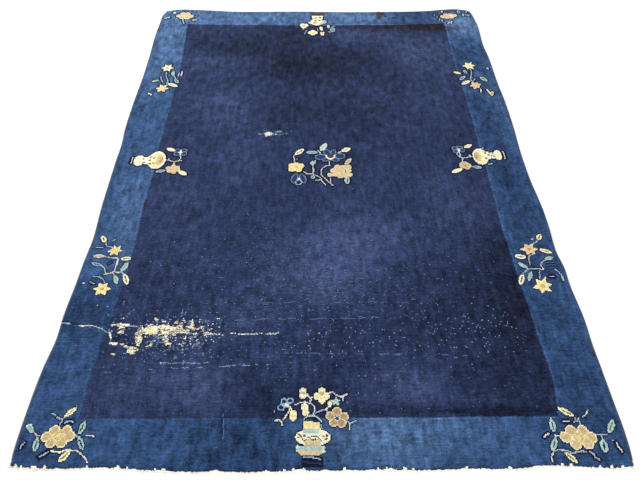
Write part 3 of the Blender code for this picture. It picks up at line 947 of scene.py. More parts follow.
def left_side_spray():
    """Two star flowers with leaves, in the left border's near half."""
    c = Chart((-0.650, -0.465), (0.095, 0.135))
    c.stem("pearl", (-5, 39), (8, 38), (14, 32), (14, 10), (12, -10))
    c.stem("pearl", (12, -10), (7, -16), (-2, -20), (-16, -24), width=4)
    c.stem("mist", (-33, 43), (-10, 38), (6, 35))
    c.stem("pearl", (12, -13), (22, -17), (34, -16), (44, -23))
    c.stem("mist", (9, -19), (19, -30))
    c.stem("aqua", (-30, 6), (-22, 0), (-17, -11), (-15, -17))
    c.stem("mist", (-48, -33), (-30, -33), (-20, -38), (-12, -46), (-8, -53))
    c.stem("mist", (-40, 98), (-37, 88), (-30, 80), (-18, 79), (-13, 74))
    c.leaf("rose", (-32, 44), (-66, 44), 13, "grey")
    c.leaf("ivory", (22, 33), (54, 36), 14, "olive")
    c.leaf("aqua", (33, -14), (48, 20), 16, "reed")
    c.leaf("ivory", (45, -22), (63, -60), 17, "umber")
    c.leaf("aqua", (17, -27), (31, -58), 14, "reed")
    c.leaf("sky", (-30, 7), (-66, 18), 11, "blue")
    c.leaf("cream", (-42, 98), (-58, 122), 16, "umber")
    c.stem("mist", (-55, -50), (-40, -57), shade_halo=2)
    c.stem("mist", (-73, -55), (-69, -56), width=6)
    c.stem("mist", (-64, 77), (-45, 76))
    c.stem("mist", (-20, 103), (-13, 108))
    c.stem("blue", (-12, 14), (-5, 20), shade_halo=2)
    tips = ((21, 66), (10, 85), (-9, 84), (-27, 61), (-17, 47), (9, 48))
    c.star((-1, 64), tips, "gold", "ivory", "gold")
    tips = ((17, -76), (3, -53), (-25, -54), (-37, -76), (-25, -100), (5, -100))
    c.star((-10, -76), tips, "straw", "cream", "tan")
    return c


def right_side_spray():
    """Its counterpart in the right border."""
    c = Chart((0.680, -0.460), (0.095, 0.135))
    c.stem("mist", (2, 44), (-8, 40), (-16, 35), (-18, 20), (-18, 5))
    c.stem("aqua", (-34, -5), (-30, -12), (-18, -13), (0, -12), (15, -14))
    c.stem("mist", (-30, -14), (-48, -28))
    c.stem("lilac", (5, -20), (2, -32), (0, -48))
    c.stem("pearl", (15, 5), (15, -3), (20, -12), (12, -15))
    c.stem("mist", (15, 5), (22, 14), (32, 20))
    c.stem("mist", (28, 98), (20, 90), (8, 82), (5, 78))
    c.stem("mist", (55, -15), (65, -25), (70, -38), (70, -55))
    c.leaf("ivory", (-25, 32), (-60, 37), 16, "olive")
    c.leaf("aqua", (-30, -8), (-55, 10), 13, "mist")
    c.leaf("ivory", (-50, -32), (-65, -68), 16, "umber")
    c.leaf("aqua", (-20, -22), (-37, -55), 12, "reed")
    c.leaf("aqua", (32, 24), (60, 30), 13, "reed")
    c.leaf("cream", (25, 62), (60, 47), 14, "olive")
    c.leaf("cream", (30, 100), (45, 125), 16, "night")
    c.oval("sky", (12, 103), (4, 5))
    c.stem("mist", (32, -40), (44, -40), shade_halo=3)
    for row in (10, 0, -10):
        c.stem("mid_blue", (28, row), (60, row + 2), width=2.8)
    tips = ((22, 62), (7, 85), (-18, 85), (-40, 62), (-18, 40), (7, 42))
    c.star((-8, 63), tips, "peach", "rose", "bronze")
    tips = ((32, -68), (18, -42), (-14, -48), (-30, -80), (-5, -100), (25, -93))
    c.star((2, -73), tips, "straw", "cream", "tan")
    return c


def left_side_vase():
    """A vase in the left border, lying with its foot to the rug's side and its flowers in the field."""
    c = Chart((-0.600, 0.015), (0.135, 0.090), shade_halo=2)
    c.oval("ivory", (-62, -5), (19, 27), heart="cream")
    c.shape("ivory", (-50, 12), (-22, 16), (-22, -26), (-50, -20))
    c.oval("ivory", (3, -2), (32, 45))
    c.shape("ivory", (-34, 13), (-12, 32), (-12, -38), (-34, -20), shade_halo=0)
    c.oval("straw", (2, -2), (26, 37), shade_halo=0)
    c.oval("cream", (-8, 3), (17, 22), shade_halo=0)
    c.oval("sand", (13, -3), (14, 26), shade_halo=0)
    c.oval("tan", (20, -3), (8, 16), shade_halo=0)
    c.dots("bronze", 3, (20, -6), (22, 4), (17, -12))
    c.dots("olive", 4, (-47, 4), (-43, -16), (-22, 12), (-10, 9), (-7, -18))
    c.dots("umber", 4, (-22, -4), (-19, -21))
    c.stem("pearl", (-87, 12), (-89, -1), (-88, -18), shade_halo=3)
    c.stem("slate", (-14, 45), (-4, 47))
    c.stem("slate", (-8, -54), (2, -56), shade_halo=0)
    c.stem("pearl", (35, -3), (45, -3), (60, -8), (68, -12), (80, -7), (95, -5))
    c.stem("pearl", (46, -2), (47, 7))
    c.stem("pearl", (86, 26), (88, 8), (86, -4))
    for centre in ((72, 47), (94, 48), (72, 31), (96, 33)):
        c.ring("slate", centre, (13, 11), fill="deep_blue")
    c.stem("ivory", (83, 48), (83, 32), width=6, shade_halo=0)
    c.stem("ivory", (76, 39), (90, 39), width=5, shade_halo=0)
    c.stem("pearl", (84, 33), (86, 22), shade_halo=0)
    c.leaf("rose", (62, 46), (28, 61), 18, None, "ivory")
    lobes = ((69, -42, 12), (52, -44, 9), (58, -58, 9), (74, -62, 10), (88, -52, 9), (86, -40, 8))
    c.shape("peach", (63, -34), (76, -34), (71, -16), (67, -16))
    c.blossom(lobes, "peach", "rose", "tan", ("peach", (69, -48), 5))
    c.leaf("ivory", (92, -58), (124, -78), 17, None, "cream")
    c.leaf("mist", (44, -54), (10, -63), 14, None, "slate")
    return c


def right_side_vase():
    """Its counterpart in the right border."""
    c = Chart((0.600, 0.025), (0.135, 0.090), shade_halo=2)
    c.oval("ivory", (62, 10), (14, 26), heart="cream")
    c.shape("ivory", (20, 28), (52, 24), (52, -6), (20, -12))
    c.oval("ivory", (-3, 4), (28, 42))
    c.oval("straw", (-3, 4), (22, 34), shade_halo=0)
    c.oval("cream", (6, 4), (14, 22), shade_halo=0)
    c.oval("sand", (-14, 4), (13, 26), shade_halo=0)
    c.oval("tan", (-18, 5), (9, 16), shade_halo=0)
    c.dots("bronze", 4, (-20, 10), (-17, -1))
    c.dots("umber", 4, (28, 11), (18, 22), (16, -6))
    c.dots("olive", 4, (47, 4), (45, 22), (34, 24))
    c.dots("reed", 4, (38, 8), (36, -4))
    c.stem("pearl", (84, 28), (86, 0), (84, -10), shade_halo=3)
    c.stem("aqua", (19, -36), (27, -38), (33, -31))
    c.stem("aqua", (8, 47), (16, 48))
    c.stem("pearl", (-32, 4), (-42, 6), (-42, 15))
    c.stem("pearl", (-42, 2), (-55, 0), (-68, -2), (-72, -12), (-74, -25))
    c.stem("pearl", (-68, -2), (-78, 2), (-83, 10))
    for centre in ((-90, 50), (-72, 53), (-66, 38), (-88, 34)):
        c.ring("slate", centre, (12, 10), fill="deep_blue")
    c.ring("sky", (-82, 18), (7, 12), fill="ink")
    c.stem("ivory", (-77, 44), (-77, 36), width=9, shade_halo=0)
    c.stem("pearl", (-77, 38), (-75, 15), (-78, 5), shade_halo=0)
    c.leaf("ivory", (-55, 52), (-24, 68), 17, None, "rose")
    lobes = ((-65, -34, 12), (-55, -42, 11), (-62, -50, 11), (-76, -46, 11), (-78, -36, 10))
    c.blossom(lobes, "peach", "rose", "sand", ("bronze", (-66, -42), 5), "tan")
    c.leaf("ivory", (-80, -58), (-120, -76), 17, None, "cream")
    c.leaf("mist", (-42, -48), (-8, -54), 15, "deep_blue")
    return c


def left_upper_spray():
    """Two star flowers with leaves, in the left border's far half."""
    c = Chart((-0.650, 0.510), (0.095, 0.140), shade_halo=2)
    c.stem("mist", (-5, 38), (-4, 26), (-2, 10), (3, -4), (10, -18), (12, -30), (9, -46), width=4)
    c.stem("aqua", (29, 14), (36, 2), (44, -14), width=4)
    tips = ((22, 67), (8, 92), (-18, 92), (-34, 67), (-20, 43), (8, 43))
    c.star((-6, 67), tips, "cream", "ivory", "tan")
    tips = ((25, -76), (14, -51), (-16, -51), (-31, -76), (-20, -101), (12, -101))
    c.star((-3, -77), tips, "gold", "ivory", "straw")
    c.leaf("aqua", (27, 12), (23, 46), 15, "slate")
    c.leaf("mist", (40, -10), (56, -38), 15, "ink")
    c.stem("lilac", (50, 30), (50, 10), width=7)
    c.stem("pearl", (62, 40), (61, 14), width=6)
    c.leaf("ivory", (13, -41), (58, -62), 18, "reed")
    c.leaf("reed", (-25, -18), (-57, -29), 13, None, "aqua")
    c.stem("pearl", (-53, -28), (-49, -29), width=6)
    c.stem("sky", (-23, 4), (-21, -4), width=5)
    c.stem("mist", (-22, 0), (-16, -19), (-8, -34), width=4)
    c.stem("pearl", (-52, -111), (-48, -115), width=7)
    c.stem("ivory", (-43, -116), (-40, -120), width=6)
    c.stem("dusty", (-66, 41), (-58, 25), (-63, 3), (-47, -3), width=4, shade_halo=0)
    c.stem("dusty", (-43, 41), (-38, 16), (-46, 0), width=4, shade_halo=0)
    c.stem("ink", (-45, -84), (-30, -98), width=5, shade_halo=0)
    return c


def right_upper_spray():
    """Its counterpart in the right border."""
    c = Chart((0.650, 0.520), (0.095, 0.140), shade_halo=2)
    c.stem("mist", (4, 44), (6, 26), (2, 8), (-4, -10), (-8, -26), (0, -44), width=4)
    tips = ((30, 75), (18, 98), (-9, 98), (-28, 70), (-8, 45), (18, 45))
    c.star((3, 72), tips, "cream", "ivory", "straw")
    tips = ((33, -60), (20, -45), (-8, -45), (-20, -72), (-5, -95), (20, -88))
    c.star((8, -68), tips, "peach", "rose", "sand")
    c.leaf("straw", (-72, 28), (-40, 15), 15, None, "cream")
    c.leaf("mist", (-25, 40), (-16, 14), 13)
    c.stem("dusty", (14, 18), (28, 10), (20, -4), width=4, shade_halo=0)
    c.stem("lilac", (-4, -8), (2, -18), width=4)
    c.stem("mist", (12, -22), (4, -34), width=4)
    c.leaf("mist", (-27, -2), (-53, -30), 15, "deep_blue")
    c.leaf("ivory", (-12, -35), (-50, -60), 18, "reed")
    c.leaf("aqua", (34, -10), (61, -40), 18)
    c.oval("sky", (80, 52), (6, 8))
    c.stem("ivory", (49, -97), (55, -120), width=6)
    c.leaf("straw", (68, -108), (60, -136), 14)
    c.stem("pearl", (24, -92), (20, -114), width=5)
    return c


def far_vase():
    """The vase at the far end, hanging from the far edge with its flowers towards the field."""
    c = Chart((0.000, 0.945), (0.110, 0.150), shade_halo=2)
    c.shape("umber", (-42, 74), (30, 74), (30, 58), (-42, 56), shade_halo=0)
    c.shape("ivory", (-35, 52), (20, 52), (18, 20), (-30, 20))
    c.oval("ivory", (-9, -4), (32, 28))
    c.shape("ivory", (-30, 40), (14, 40), (14, -4), (-30, -4), shade_halo=0)
    c.oval("aqua", (26, -2), (10, 16))
    c.oval("pearl", (-41, -8), (9, 10))
    c.oval("cream", (-8, 14), (20, 9), shade_halo=0)
    c.dots("tan", 8, (-16, 7), (-20, -12))
    c.dots("olive", 6, (3, 10), (5, 35), (-15, 32))
    c.dots("sand", 7, (-20, 28), (12, -18))
    c.stem("night", (-18, -36), (10, -34), width=8, shade_halo=1)
    lobes = ((-76, -30, 14), (-62, -32, 13), (-70, -42, 14))
    c.blossom(lobes, "ivory", "ivory", "sand", ("tan", (-69, -36), 7))
    c.stem("ivory", (-72, -52), (-72, -62), width=8)
    c.stem("slate", (-58, -76), (-62, -88), (-66, -104), width=7)
    c.oval("ivory", (11, -60), (7, 18), 8)
    c.oval("pearl", (45, -42), (7, 15), 10)
    c.stem("lilac", (62, -46), (73, -38), width=4)
    c.ring("aqua", (64, -70), (12, 19), fill="slate")
    c.stem("lilac", (46, -84), (52, -92), width=5)
    lobes = ((-28, -84, 12), (-40, -94, 11), (-16, -94, 11), (-28, -104, 11))
    c.blossom(lobes, "cream", "ivory", "gold", ("gold", (-28, -94), 6))
    c.shape("rose", (6, -88), (26, -88), (24, -116), (8, -116))
    c.stem("lilac", (-8, -58), (-4, -80), width=4)
    return c


def far_left_spray():
    """Peony spray in the far left corner."""
    c = Chart((-0.640, 0.995), (0.115, 0.110), shade_halo=2)
    lobes = (
        (-32, -1, 14), (-16, 18, 14), (6, 18, 14), (24, -3, 14), (8, -18, 14), (-14, -16, 14), (-4, 0, 16),
    )
    c.blossom(lobes, "sand", "ivory", "straw", ("gold", (-4, 0), 8))
    c.oval("pearl", (-58, 28), (7, 10))
    c.oval("aqua", (-80, -15), (6, 8))
    c.oval("sky", (-93, -22), (8, 9))
    c.oval("mist", (42, -38), (6, 9))
    c.oval("mist", (54, -35), (6, 8))
    c.stem("slate", (34, 38), (40, 34), width=7)
    c.stem("slate", (44, -12), (55, 6), width=5)
    c.stem("mist", (-10, -34), (-5, -52), (2, -72), width=6)
    return c


def far_right_spray():
    """Peony spray in the far right corner."""
    c = Chart((0.625, 0.995), (0.125, 0.110), shade_halo=2)
    lobes = ((-26, -6, 14), (-12, 12, 11), (10, 8, 15), (30, 3, 12), (12, -12, 13), (-8, -12, 14))
    c.blossom(lobes, "peach", "ivory", "sand", ("cream", (14, 0), 9))
    c.stem("pearl", (-26, 44), (-27, 34), width=7)
    c.stem("slate", (-40, 34), (-38, 22), width=6)
    c.leaf("sky", (54, 24), (56, 54), 16)
    c.stem("lilac", (92, 44), (90, 28), width=6)
    c.stem("pearl", (72, 14), (70, 0), width=7)
    c.stem("mist", (80, 8), (92, 8), (98, -4), width=7)
    c.stem("slate", (-68, 16), (-68, 2), width=6)
    c.stem("slate", (-57, -2), (-56, -14), width=6)
    c.stem("sky", (-46, -24), (-50, -42), width=5)
    c.stem("lilac", (-38, -34), (-37, -50), width=6)
    c.stem("pearl", (-4, -56), (-12, -68), width=6)
    c.stem("pearl", (7, -54), (2, -68), width=6)
    return c


def centre_spray():
    """The loose bouquet in the middle of the field."""
    c = Chart((0.005, -0.020), (0.130, 0.140), shade_halo=2)
    c.stem("pearl", (-97, 60), (-100, 48), (-96, 40), (-95, 26))
    c.stem("lilac", (-91, 36), (-85, 38))
    c.stem("ivory", (-60, -26), (-50, -37), (-35, -38), (-26, -36))
    c.stem("pearl", (-28, 8), (-28, -5), (-25, -18), (-27, -32), (-25, -42), width=3.8)
    c.stem("pearl", (-20, -42), (-8, -50), (2, -60), (3, -66), (-18, -69))
    c.stem("pearl", (2, -66), (8, -78), (18, -92), width=4)
    stalk = (
        (33, 24), (34, 5), (20, 3), (5, -10), (2, -25), (2, -42), (12, -55), (22, -68), (32, -82), (43, -93),
    )
    c.stem("pearl", *stalk)
    c.stem("pearl", (36, -60), (35, -78), width=4)
    c.stem("pearl", (-11, 84), (-2, 72), (0, 62))
    c.stem("ivory", (66, 72), (78, 78))
    lobes = ((-105, 4, 12), (-90, 9, 12), (-72, 3, 12), (-104, -13, 13), (-80, -15, 13), (-90, -2, 12))
    c.blossom(lobes, "straw", "cream", "cream", ("tan", (-88, -2), 5), "gold")
    c.leaf("ivory", (-95, 60), (-62, 92), 19, "olive")
    c.petal("slate", "deep_blue", (-86, -36), (-99, -84), 25)
    c.petal("slate", "deep_blue", (-70, -36), (-57, -84), 23)
    c.ring("mist", (-78, -80), (12, 13), fill="ink")
    c.oval("ivory", (-78, -62), (5, 5), shade_halo=0)
    c.oval("aqua", (-30, 17), (7, 11))
    c.stem("sky", (-19, 30), (-20, 16), width=6)
    c.ring("aqua", (-28, -53), (8, 9), fill="slate")
    petals = (
        ((24, 49), (-21, 49), 30), ((51, 53), (92, 54), 32),
        ((28, 58), (19, 90), 27), ((46, 60), (51, 90), 21),
        ((40, 41), (6, 31), 19), ((36, 39), (69, 31), 19),
    )
    for base, tip, width in petals:
        c.petal("slate", "deep_blue", base, tip, width)
    c.oval("deep_blue", (37, 60), (14, 9), shade_halo=0)
    c.oval("umber", (37, 53), (9, 10), shade_halo=0)
    c.stem("ivory", (22, 58), (23, 49), (29, 41), (37, 38), (45, 41), (51, 49), (52, 58), width=6, shade_halo=0)
    c.leaf("sky", (-12, 73), (-52, 73), 19, "slate", "aqua")
    c.leaf("pale_aqua", (0, 82), (22, 122), 22, "reed")
    c.leaf("ivory", (80, 79), (112, 96), 21, "reed")
    lobes = (
        (62, -5, 13), (82, -6, 13), (101, -4, 12), (101, -22, 10), (105, -42, 10), (90, -42, 13), (72, -46, 13),
        (52, -40, 11), (34, -42, 10), (48, -22, 13), (72, -26, 16),
    )
    c.blossom(lobes, "peach", "rose", "gold", ("sand", (72, -26), 5), "sand")
    c.leaf("rose", (91, 9), (112, 41), 16, "umber")
    c.leaf("aqua", (95, -50), (95, -87), 18, "ink")
    return c


def bare_patch():
    """Where the field's pile is worn down to the cotton, with loose runs beside it."""
    c = Chart((-0.500, -0.690), (0.215, 0.110))
    c.worn(("navy", "night", "ink"), 0.85, (-55, -8), (38, 30))
    c.worn(("dusty", "slate", "navy"), 0.22, (80, -5), (150, 60), firm=2)
    c.worn(("grey", "slate", "cotton"), 0.24, (85, 4), (110, 32), firm=2)
    c.worn(("cotton", "cream", "straw"), 1.00, (12, 11), (24, 12), 8, firm=8)
    c.worn(("cotton", "cream"), 0.90, (52, 21), (44, 7), -6)
    c.worn(("cotton", "cream", "sand"), 0.55, (55, 6), (50, 12))
    c.worn(("ivory", "sand"), 0.42, (112, 16), (48, 10), firm=2)
    c.worn(("cotton", "ivory"), 0.98, (-73, 25), (25, 4.5))
    c.worn(("cotton", "cream"), 0.95, (-72, 19), (8, 6))
    c.worn(("cotton", "cream"), 0.95, (-17, 12), (9, 12))
    c.worn(("cotton", "cream"), 1.00, (-17, -12), (10, 26), 8, firm=8)
    c.worn(("cotton", "cream"), 1.00, (-26, -51), (15, 11), firm=8)
    c.worn(("sand", "olive"), 0.80, (-22, -50), (5, 3))
    c.worn(("cotton", "straw"), 0.90, (-70, 3), (8, 5))
    c.worn(("ivory",), 0.98, (-79, -33), (13, 3))
    c.worn(("sand", "ivory"), 0.90, (-57, -35), (6, 3))
    c.worn(("sand", "ivory"), 0.90, (-45, -42), (8, 4), -25)
    c.worn(("sand", "ivory"), 0.90, (-75, -65), (6, 4))
    c.worn(("cotton", "sand"), 0.75, (16, -34), (8, 6))
    c.worn(("cream", "straw"), 0.92, (72, -33), (15, 5))
    c.worn(("cotton", "cream"), 0.85, (66, -22), (6, 9))
    c.worn(("cotton",), 0.90, (62, -9), (6, 4))
    c.worn(("grey", "sand"), 0.70, (118, -50), (7, 4))
    c.worn(("grey", "slate"), 0.55, (152, -33), (18, 8), firm=2)
    c.worn(("cotton", "ivory"), 0.85, (62, 35), (5, 4))
    c.worn(("cotton", "ivory"), 0.85, (130, 32), (4, 12))
    for x, y in ((84, 34), (22, 46), (93, 8), (120, 2), (100, 18), (150, 22), (176, 2)):
        c.worn(("sand", "cotton"), 0.85, (x, y), (6, 4))
    c.worn(("ivory", "grey"), 0.85, (180, -2), (50, 2.6), run=8)
    c.worn(("ivory", "slate"), 0.95, (63, -90), (7, 3.5))
    c.worn(("dusty", "slate"), 0.70, (120, -90), (70, 3.2), run=6)
    c.stem("lilac", (-50, 23), (-27, 22), shade_halo=0)
    c.stem("slate", (-105, 10), (-100, -5), (-93, -18), (-93, -30), shade_halo=0)
    c.stem("ivory", (-100, 0), (-95, -12), (-92, -16), width=4.5, shade_halo=0)
    return c


def slit():
    """The mended slit across the left border: pale mending lines, with dark knots above them as a painted
    shadow line.
    """
    c = Chart((-0.700, -0.655), (0.110, 0.040))
    # The ink lines are a painted shadow along the upper side of the slit
    c.stem("ink", (-46, 0), (-14, -1), shade_halo=0)
    c.stem("sky", (-46, -5), (-22, -6), shade_halo=0)
    c.stem("ink", (-14, -8), (8, -9), (50, -9), shade_halo=0)
    c.stem("mid_blue", (-8, -12), (8, -13), shade_halo=0)
    c.stem("ivory", (10, -13), (20, -14), width=4.6, shade_halo=0)
    c.stem("pearl", (20, -13), (48, -14), shade_halo=0)
    c.stem("sky", (48, -14), (62, -18), (76, -24), shade_halo=0)
    c.stem("slate", (76, -24), (92, -34), shade_halo=0)
    return c


def worn_spot():
    """A small worn place in the far half of the field."""
    c = Chart((-0.170, 0.165), (0.090, 0.040))
    c.worn(("dusty", "slate", "navy"), 0.45, (0, -4), (55, 12), run=5, firm=2)
    c.worn(("grey", "cotton"), 0.75, (-24, -9), (16, 10))
    c.worn(("cotton", "ivory"), 1.00, (-25, -7), (9, 6))
    c.worn(("cotton", "grey"), 0.90, (12, 3), (6, 4))
    c.worn(("slate",), 0.60, (22, 5), (22, 4), run=5)
    c.worn(("slate",), 0.60, (20, -13), (20, 4), run=5)
    c.worn(("slate",), 0.60, (-55, -10), (10, 4))
    return c


def dark_stain():
    """Dark spots in the far border."""
    c = Chart((0.300, 0.980), (0.140, 0.060))
    c.worn(("umber", "night"), 0.95, (-8, 36), (22, 16))
    c.worn(("umber", "ink"), 0.70, (-10, 5), (12, 24))
    for x, y, across, lengthways in ((20, 10, 8, 8), (60, 2, 9, 9), (80, 22, 9, 9), (105, -10, 10, 36)):
        c.worn(("ink", "navy"), 0.75, (x, y), (across, lengthways))
    return c


def dark_band():
    """Darker rows of the field along the near border."""
    c = Chart((0.395, -0.918), (0.225, 0.016))
    c.worn(("night", "ink", "night"), 0.80, (75, 1), (175, 8), run=8)
    return c


def crease_shading():
    """A fold line across the near border: a line of painted shade beside a line of painted highlight."""
    c = Chart((-0.250, -0.955), (0.020, 0.040))
    # Painted shade on one side of the fold, painted highlight on the other
    c.stem("ink", (-4, 33), (3, -32), width=2.8, shade_halo=0)
    c.stem("mid_blue", (0, 33), (7, -32), width=2.8, shade_halo=0)
    return c


def thin_wear():
    """Loose pale fibres and thin rows over the field's near half."""
    c = Chart((0.0, -0.470), (0.590, 0.450))
    c.worn(("dusty", "navy"), 0.035, (-60, -120), (520, 300), run=2, firm=2)
    c.worn(("slate", "dusty"), 0.004, (-60, -120), (520, 300), run=1)
    c.worn(("grey", "slate"), 0.030, (430, -215), (110, 60), run=1, firm=2)
    c.worn(("grey", "slate"), 0.022, (120, -240), (160, 60), run=1, firm=2)
    c.worn(("grey", "ivory"), 0.75, (-180, -222), (130, 2.0), 1, run=9, firm=2)
    c.worn(("dusty", "slate"), 0.45, (-300, -322), (170, 2.6), 3, run=7, firm=2)
    c.worn(("dusty",), 0.40, (-100, -175), (300, 2.6), 1, run=7, firm=2)
    c.worn(("dusty",), 0.35, (60, -120), (260, 2.6), run=7, firm=2)
    c.worn(("dusty",), 0.35, (120, -285), (240, 2.6), -1, run=7, firm=2)
    c.worn(("dusty",), 0.12, (20, -60), (150, 60), run=6, firm=2)
    return c


def cut_knots(name, charts, material):
    """The charts' knots as cut tufts, each a small tapered block of its own colour."""
    parts = [(c.on_x, c.on_y, c.colour, c.rise) for c in charts]
    knots = [np.concatenate([part[k][part[3] > 0] for part in parts]) for k in range(4)]
    return tufts(name, *knots, material)


def tufts(name, x, y, colour, rise, material, surface=None, root=TUFT_ROOT):
    """One tuft at each place, standing on the pile or on a surface of its own."""
    count = len(x)
    draw = np.random.default_rng(SEED + len(name) + count)
    colour = colour * draw.normal(1.0, 0.07, (count, 1)) * draw.normal(1.0, 0.02, (count, 3))
    surface = pile_height(x, y) if surface is None else surface
    corner = np.array(((-0.5, -0.5), (0.5, -0.5), (0.5, 0.5), (-0.5, 0.5))) * KNOT
    lean = draw.normal(0.0, 0.00022, (count, 1, 2)) + (0.0, -0.0002)
    middle = np.stack([x, y], axis=-1)[:, None, :]
    low = np.concatenate([middle + corner, np.repeat((surface - root)[:, None, None], 4, 1)], axis=2)
    spread = TUFT_TAPER + draw.normal(0.0, 0.04, (count, 1, 1))
    heights = (surface + rise + draw.normal(0.0, 0.00012, count))[:, None, None]
    tilt = draw.normal(0.0, 0.00012, (count, 4, 1))
    high = np.concatenate([middle + corner * spread + lean, heights + tilt], axis=2)
    points = np.concatenate([low, high], axis=1).reshape(-1, 3)
    block = np.array(((0, 3, 2, 1), (4, 5, 6, 7), (0, 1, 5, 4), (1, 2, 6, 5), (2, 3, 7, 6), (3, 0, 4, 7)))
    faces = (block[None] + 8 * np.arange(count)[:, None, None]).reshape(-1, 4).tolist()
    piece = mesh_piece(name, points, faces, material)
    layer = piece.data.color_attributes.new("yarn", "FLOAT_COLOR", "POINT")
    shown = np.concatenate([np.clip(colour, 0, 1), np.ones((count, 1))], axis=1)
    layer.data.foreach_set("color", np.repeat(shown, 8, axis=0).astype(np.float32).ravel())
    side = math.ceil(math.sqrt(count))
    outer = np.array(((0.04, 0.16), (0.96, 0.16), (0.96, 0.98), (0.04, 0.98)))
    inner = np.array(((0.22, 0.32), (0.78, 0.32), (0.78, 0.82), (0.22, 0.82)))
    corners = np.concatenate([outer, inner])[block]
    corners[0] = ((0.04, 0.02), (0.04, 0.10), (0.96, 0.10), (0.96, 0.02))
    cells = np.stack([np.arange(count) % side, np.arange(count) // side], axis=-1)
    places = (cells[:, None, None, :] + corners[None]) / side
    bake = piece.data.uv_layers.new(name="OFBake")
    bake.data.foreach_set("uv", places.astype(np.float32).ravel())
    return piece


RAG_REACH = 0.0015          # how far the last row's loose knots hang over the bare ground, or fall short
RAG_HEIGHT = 0.0046
TOOTH_SHARE = 0.09          # of the edge's length has cotton teeth between the knots
TOOTH_DEPTH = 0.0016        # how far up into the pile they reach


def ragged_knots(material):
    """The last row's uneven blue knots, with teeth of the cotton ground between them."""
    draw = np.random.default_rng(SEED + 21)
    left, right = place(np.array((0.0, 1.0)), np.zeros(2), (CORNER_INSET * 2, 0.0))[0]
    x = np.arange(left, right, KNOT[0])
    edge = near_edge(x) + bitten(x)
    toothed = wander(x, x * 0, (0.007, 1.0), 31)
    bare = toothed > np.quantile(toothed, 1 - TOOTH_SHARE)
    over = np.clip(draw.normal(0.0, 0.6, len(x)), -1, 1) * RAG_REACH
    blue = np.array([YARNS[yarn] for yarn in ("deep_blue", "blue", "ink")])[draw.integers(3, size=len(x))]
    tooth_x = np.tile(x[bare], 2)
    rows = np.repeat((-0.5, 0.5), bare.sum()) * TOOTH_DEPTH
    tooth_y = np.tile(edge[bare], 2) + rows + draw.normal(0.0, 0.0008, 2 * bare.sum())
    cotton = np.repeat([YARNS["cotton"]], len(tooth_x), 0)
    high = np.concatenate([
        np.full((~bare).sum(), RAG_HEIGHT), np.maximum(pile_height(tooth_x, tooth_y), RAG_HEIGHT) + 0.0005,
    ])
    return tufts(
        "ragged_near_knots",
        np.concatenate([x[~bare], tooth_x]), np.concatenate([(edge - over)[~bare], tooth_y]),
        np.concatenate([blue[~bare], cotton]), 0.0, material, high, high - STRIP_HEIGHT * 0.8
    )


# Wrapped cords, binding, fringe

WRAP_PITCH = 0.0026
WRAP_RELIEF = 0.00035
RING_STEP = 0.0008
CORD_SIDES = 10


def wrapped_rope(name, x, y, lift, size, sideways, material):
    """A cord overcast with slanting wraps, along a path on the floor."""
    width, height = size
    steps = np.concatenate([[0.0], np.cumsum(np.hypot(np.diff(x), np.diff(y)))])
    along_path = np.linspace(0, steps[-1], round(steps[-1] / RING_STEP))
    x, y, lift = (np.interp(along_path, steps, part) for part in (x, y, lift))
    angle = 2 * np.pi * np.arange(CORD_SIDES) / CORD_SIDES
    phase = 2 * np.pi * along_path[:, None] / WRAP_PITCH + angle[None] * 0.8
    uneven = 1 + 0.5 * wander(along_path, along_path * 0, (0.006, 1.0), len(name))[:, None]
    relief = WRAP_RELIEF * (np.abs(np.cos(phase / 2)) - 1.0) * uneven
    out = (width / 2 + relief) * np.cos(angle)[None]
    up = height / 2 + (height / 2 + relief) * np.sin(angle)[None]
    points = np.stack(
        [x[:, None] + out * sideways[0], y[:, None] + out * sideways[1], lift[:, None] + up], axis=-1
    )
    index = np.arange(points.shape[0] * CORD_SIDES).reshape(-1, CORD_SIDES)
    closed = np.concatenate([index, index[:, :1]], axis=1)
    faces = quads(closed) + [index[0].tolist(), index[-1][::-1].tolist()]
    return mesh_piece(name, points.reshape(-1, 3), faces, material)


def build_side_cord(name, side, material):
    """The overcast selvedge along one side; side is 0 at the left and 1 at the right."""
    t = np.concatenate([np.linspace(TUFT_LENGTH / LENGTH, 1.0, 900)])
    x, y = place(np.full_like(t, side), t, (CORD_WIDTH / 2, BINDING_WIDTH + CLEARANCE))
    lift = bumps(RIPPLES, np.full_like(t, side), t)
    x, y, lift = np.append(x, x[-1]), np.append(y, y[-1] + BINDING_WIDTH), np.append(lift, lift[-1])
    return wrapped_rope(name, x, y, lift, (CORD_WIDTH, CORD_HEIGHT), (1.0, 0.0), material)


def build_far_binding(material):
    """The overcast far end between the two selvedges."""
    s = np.linspace(0.0, 1.0, 700)
    x, y = place(s, np.ones_like(s), (CORD_WIDTH + CLEARANCE, BINDING_WIDTH / 2))
    lift = bumps(RIPPLES, s, np.ones_like(s))
    size = (BINDING_WIDTH, BINDING_HEIGHT)
    return wrapped_rope("bound_far_end", x, y, lift, size, (0.0, -1.0), material)


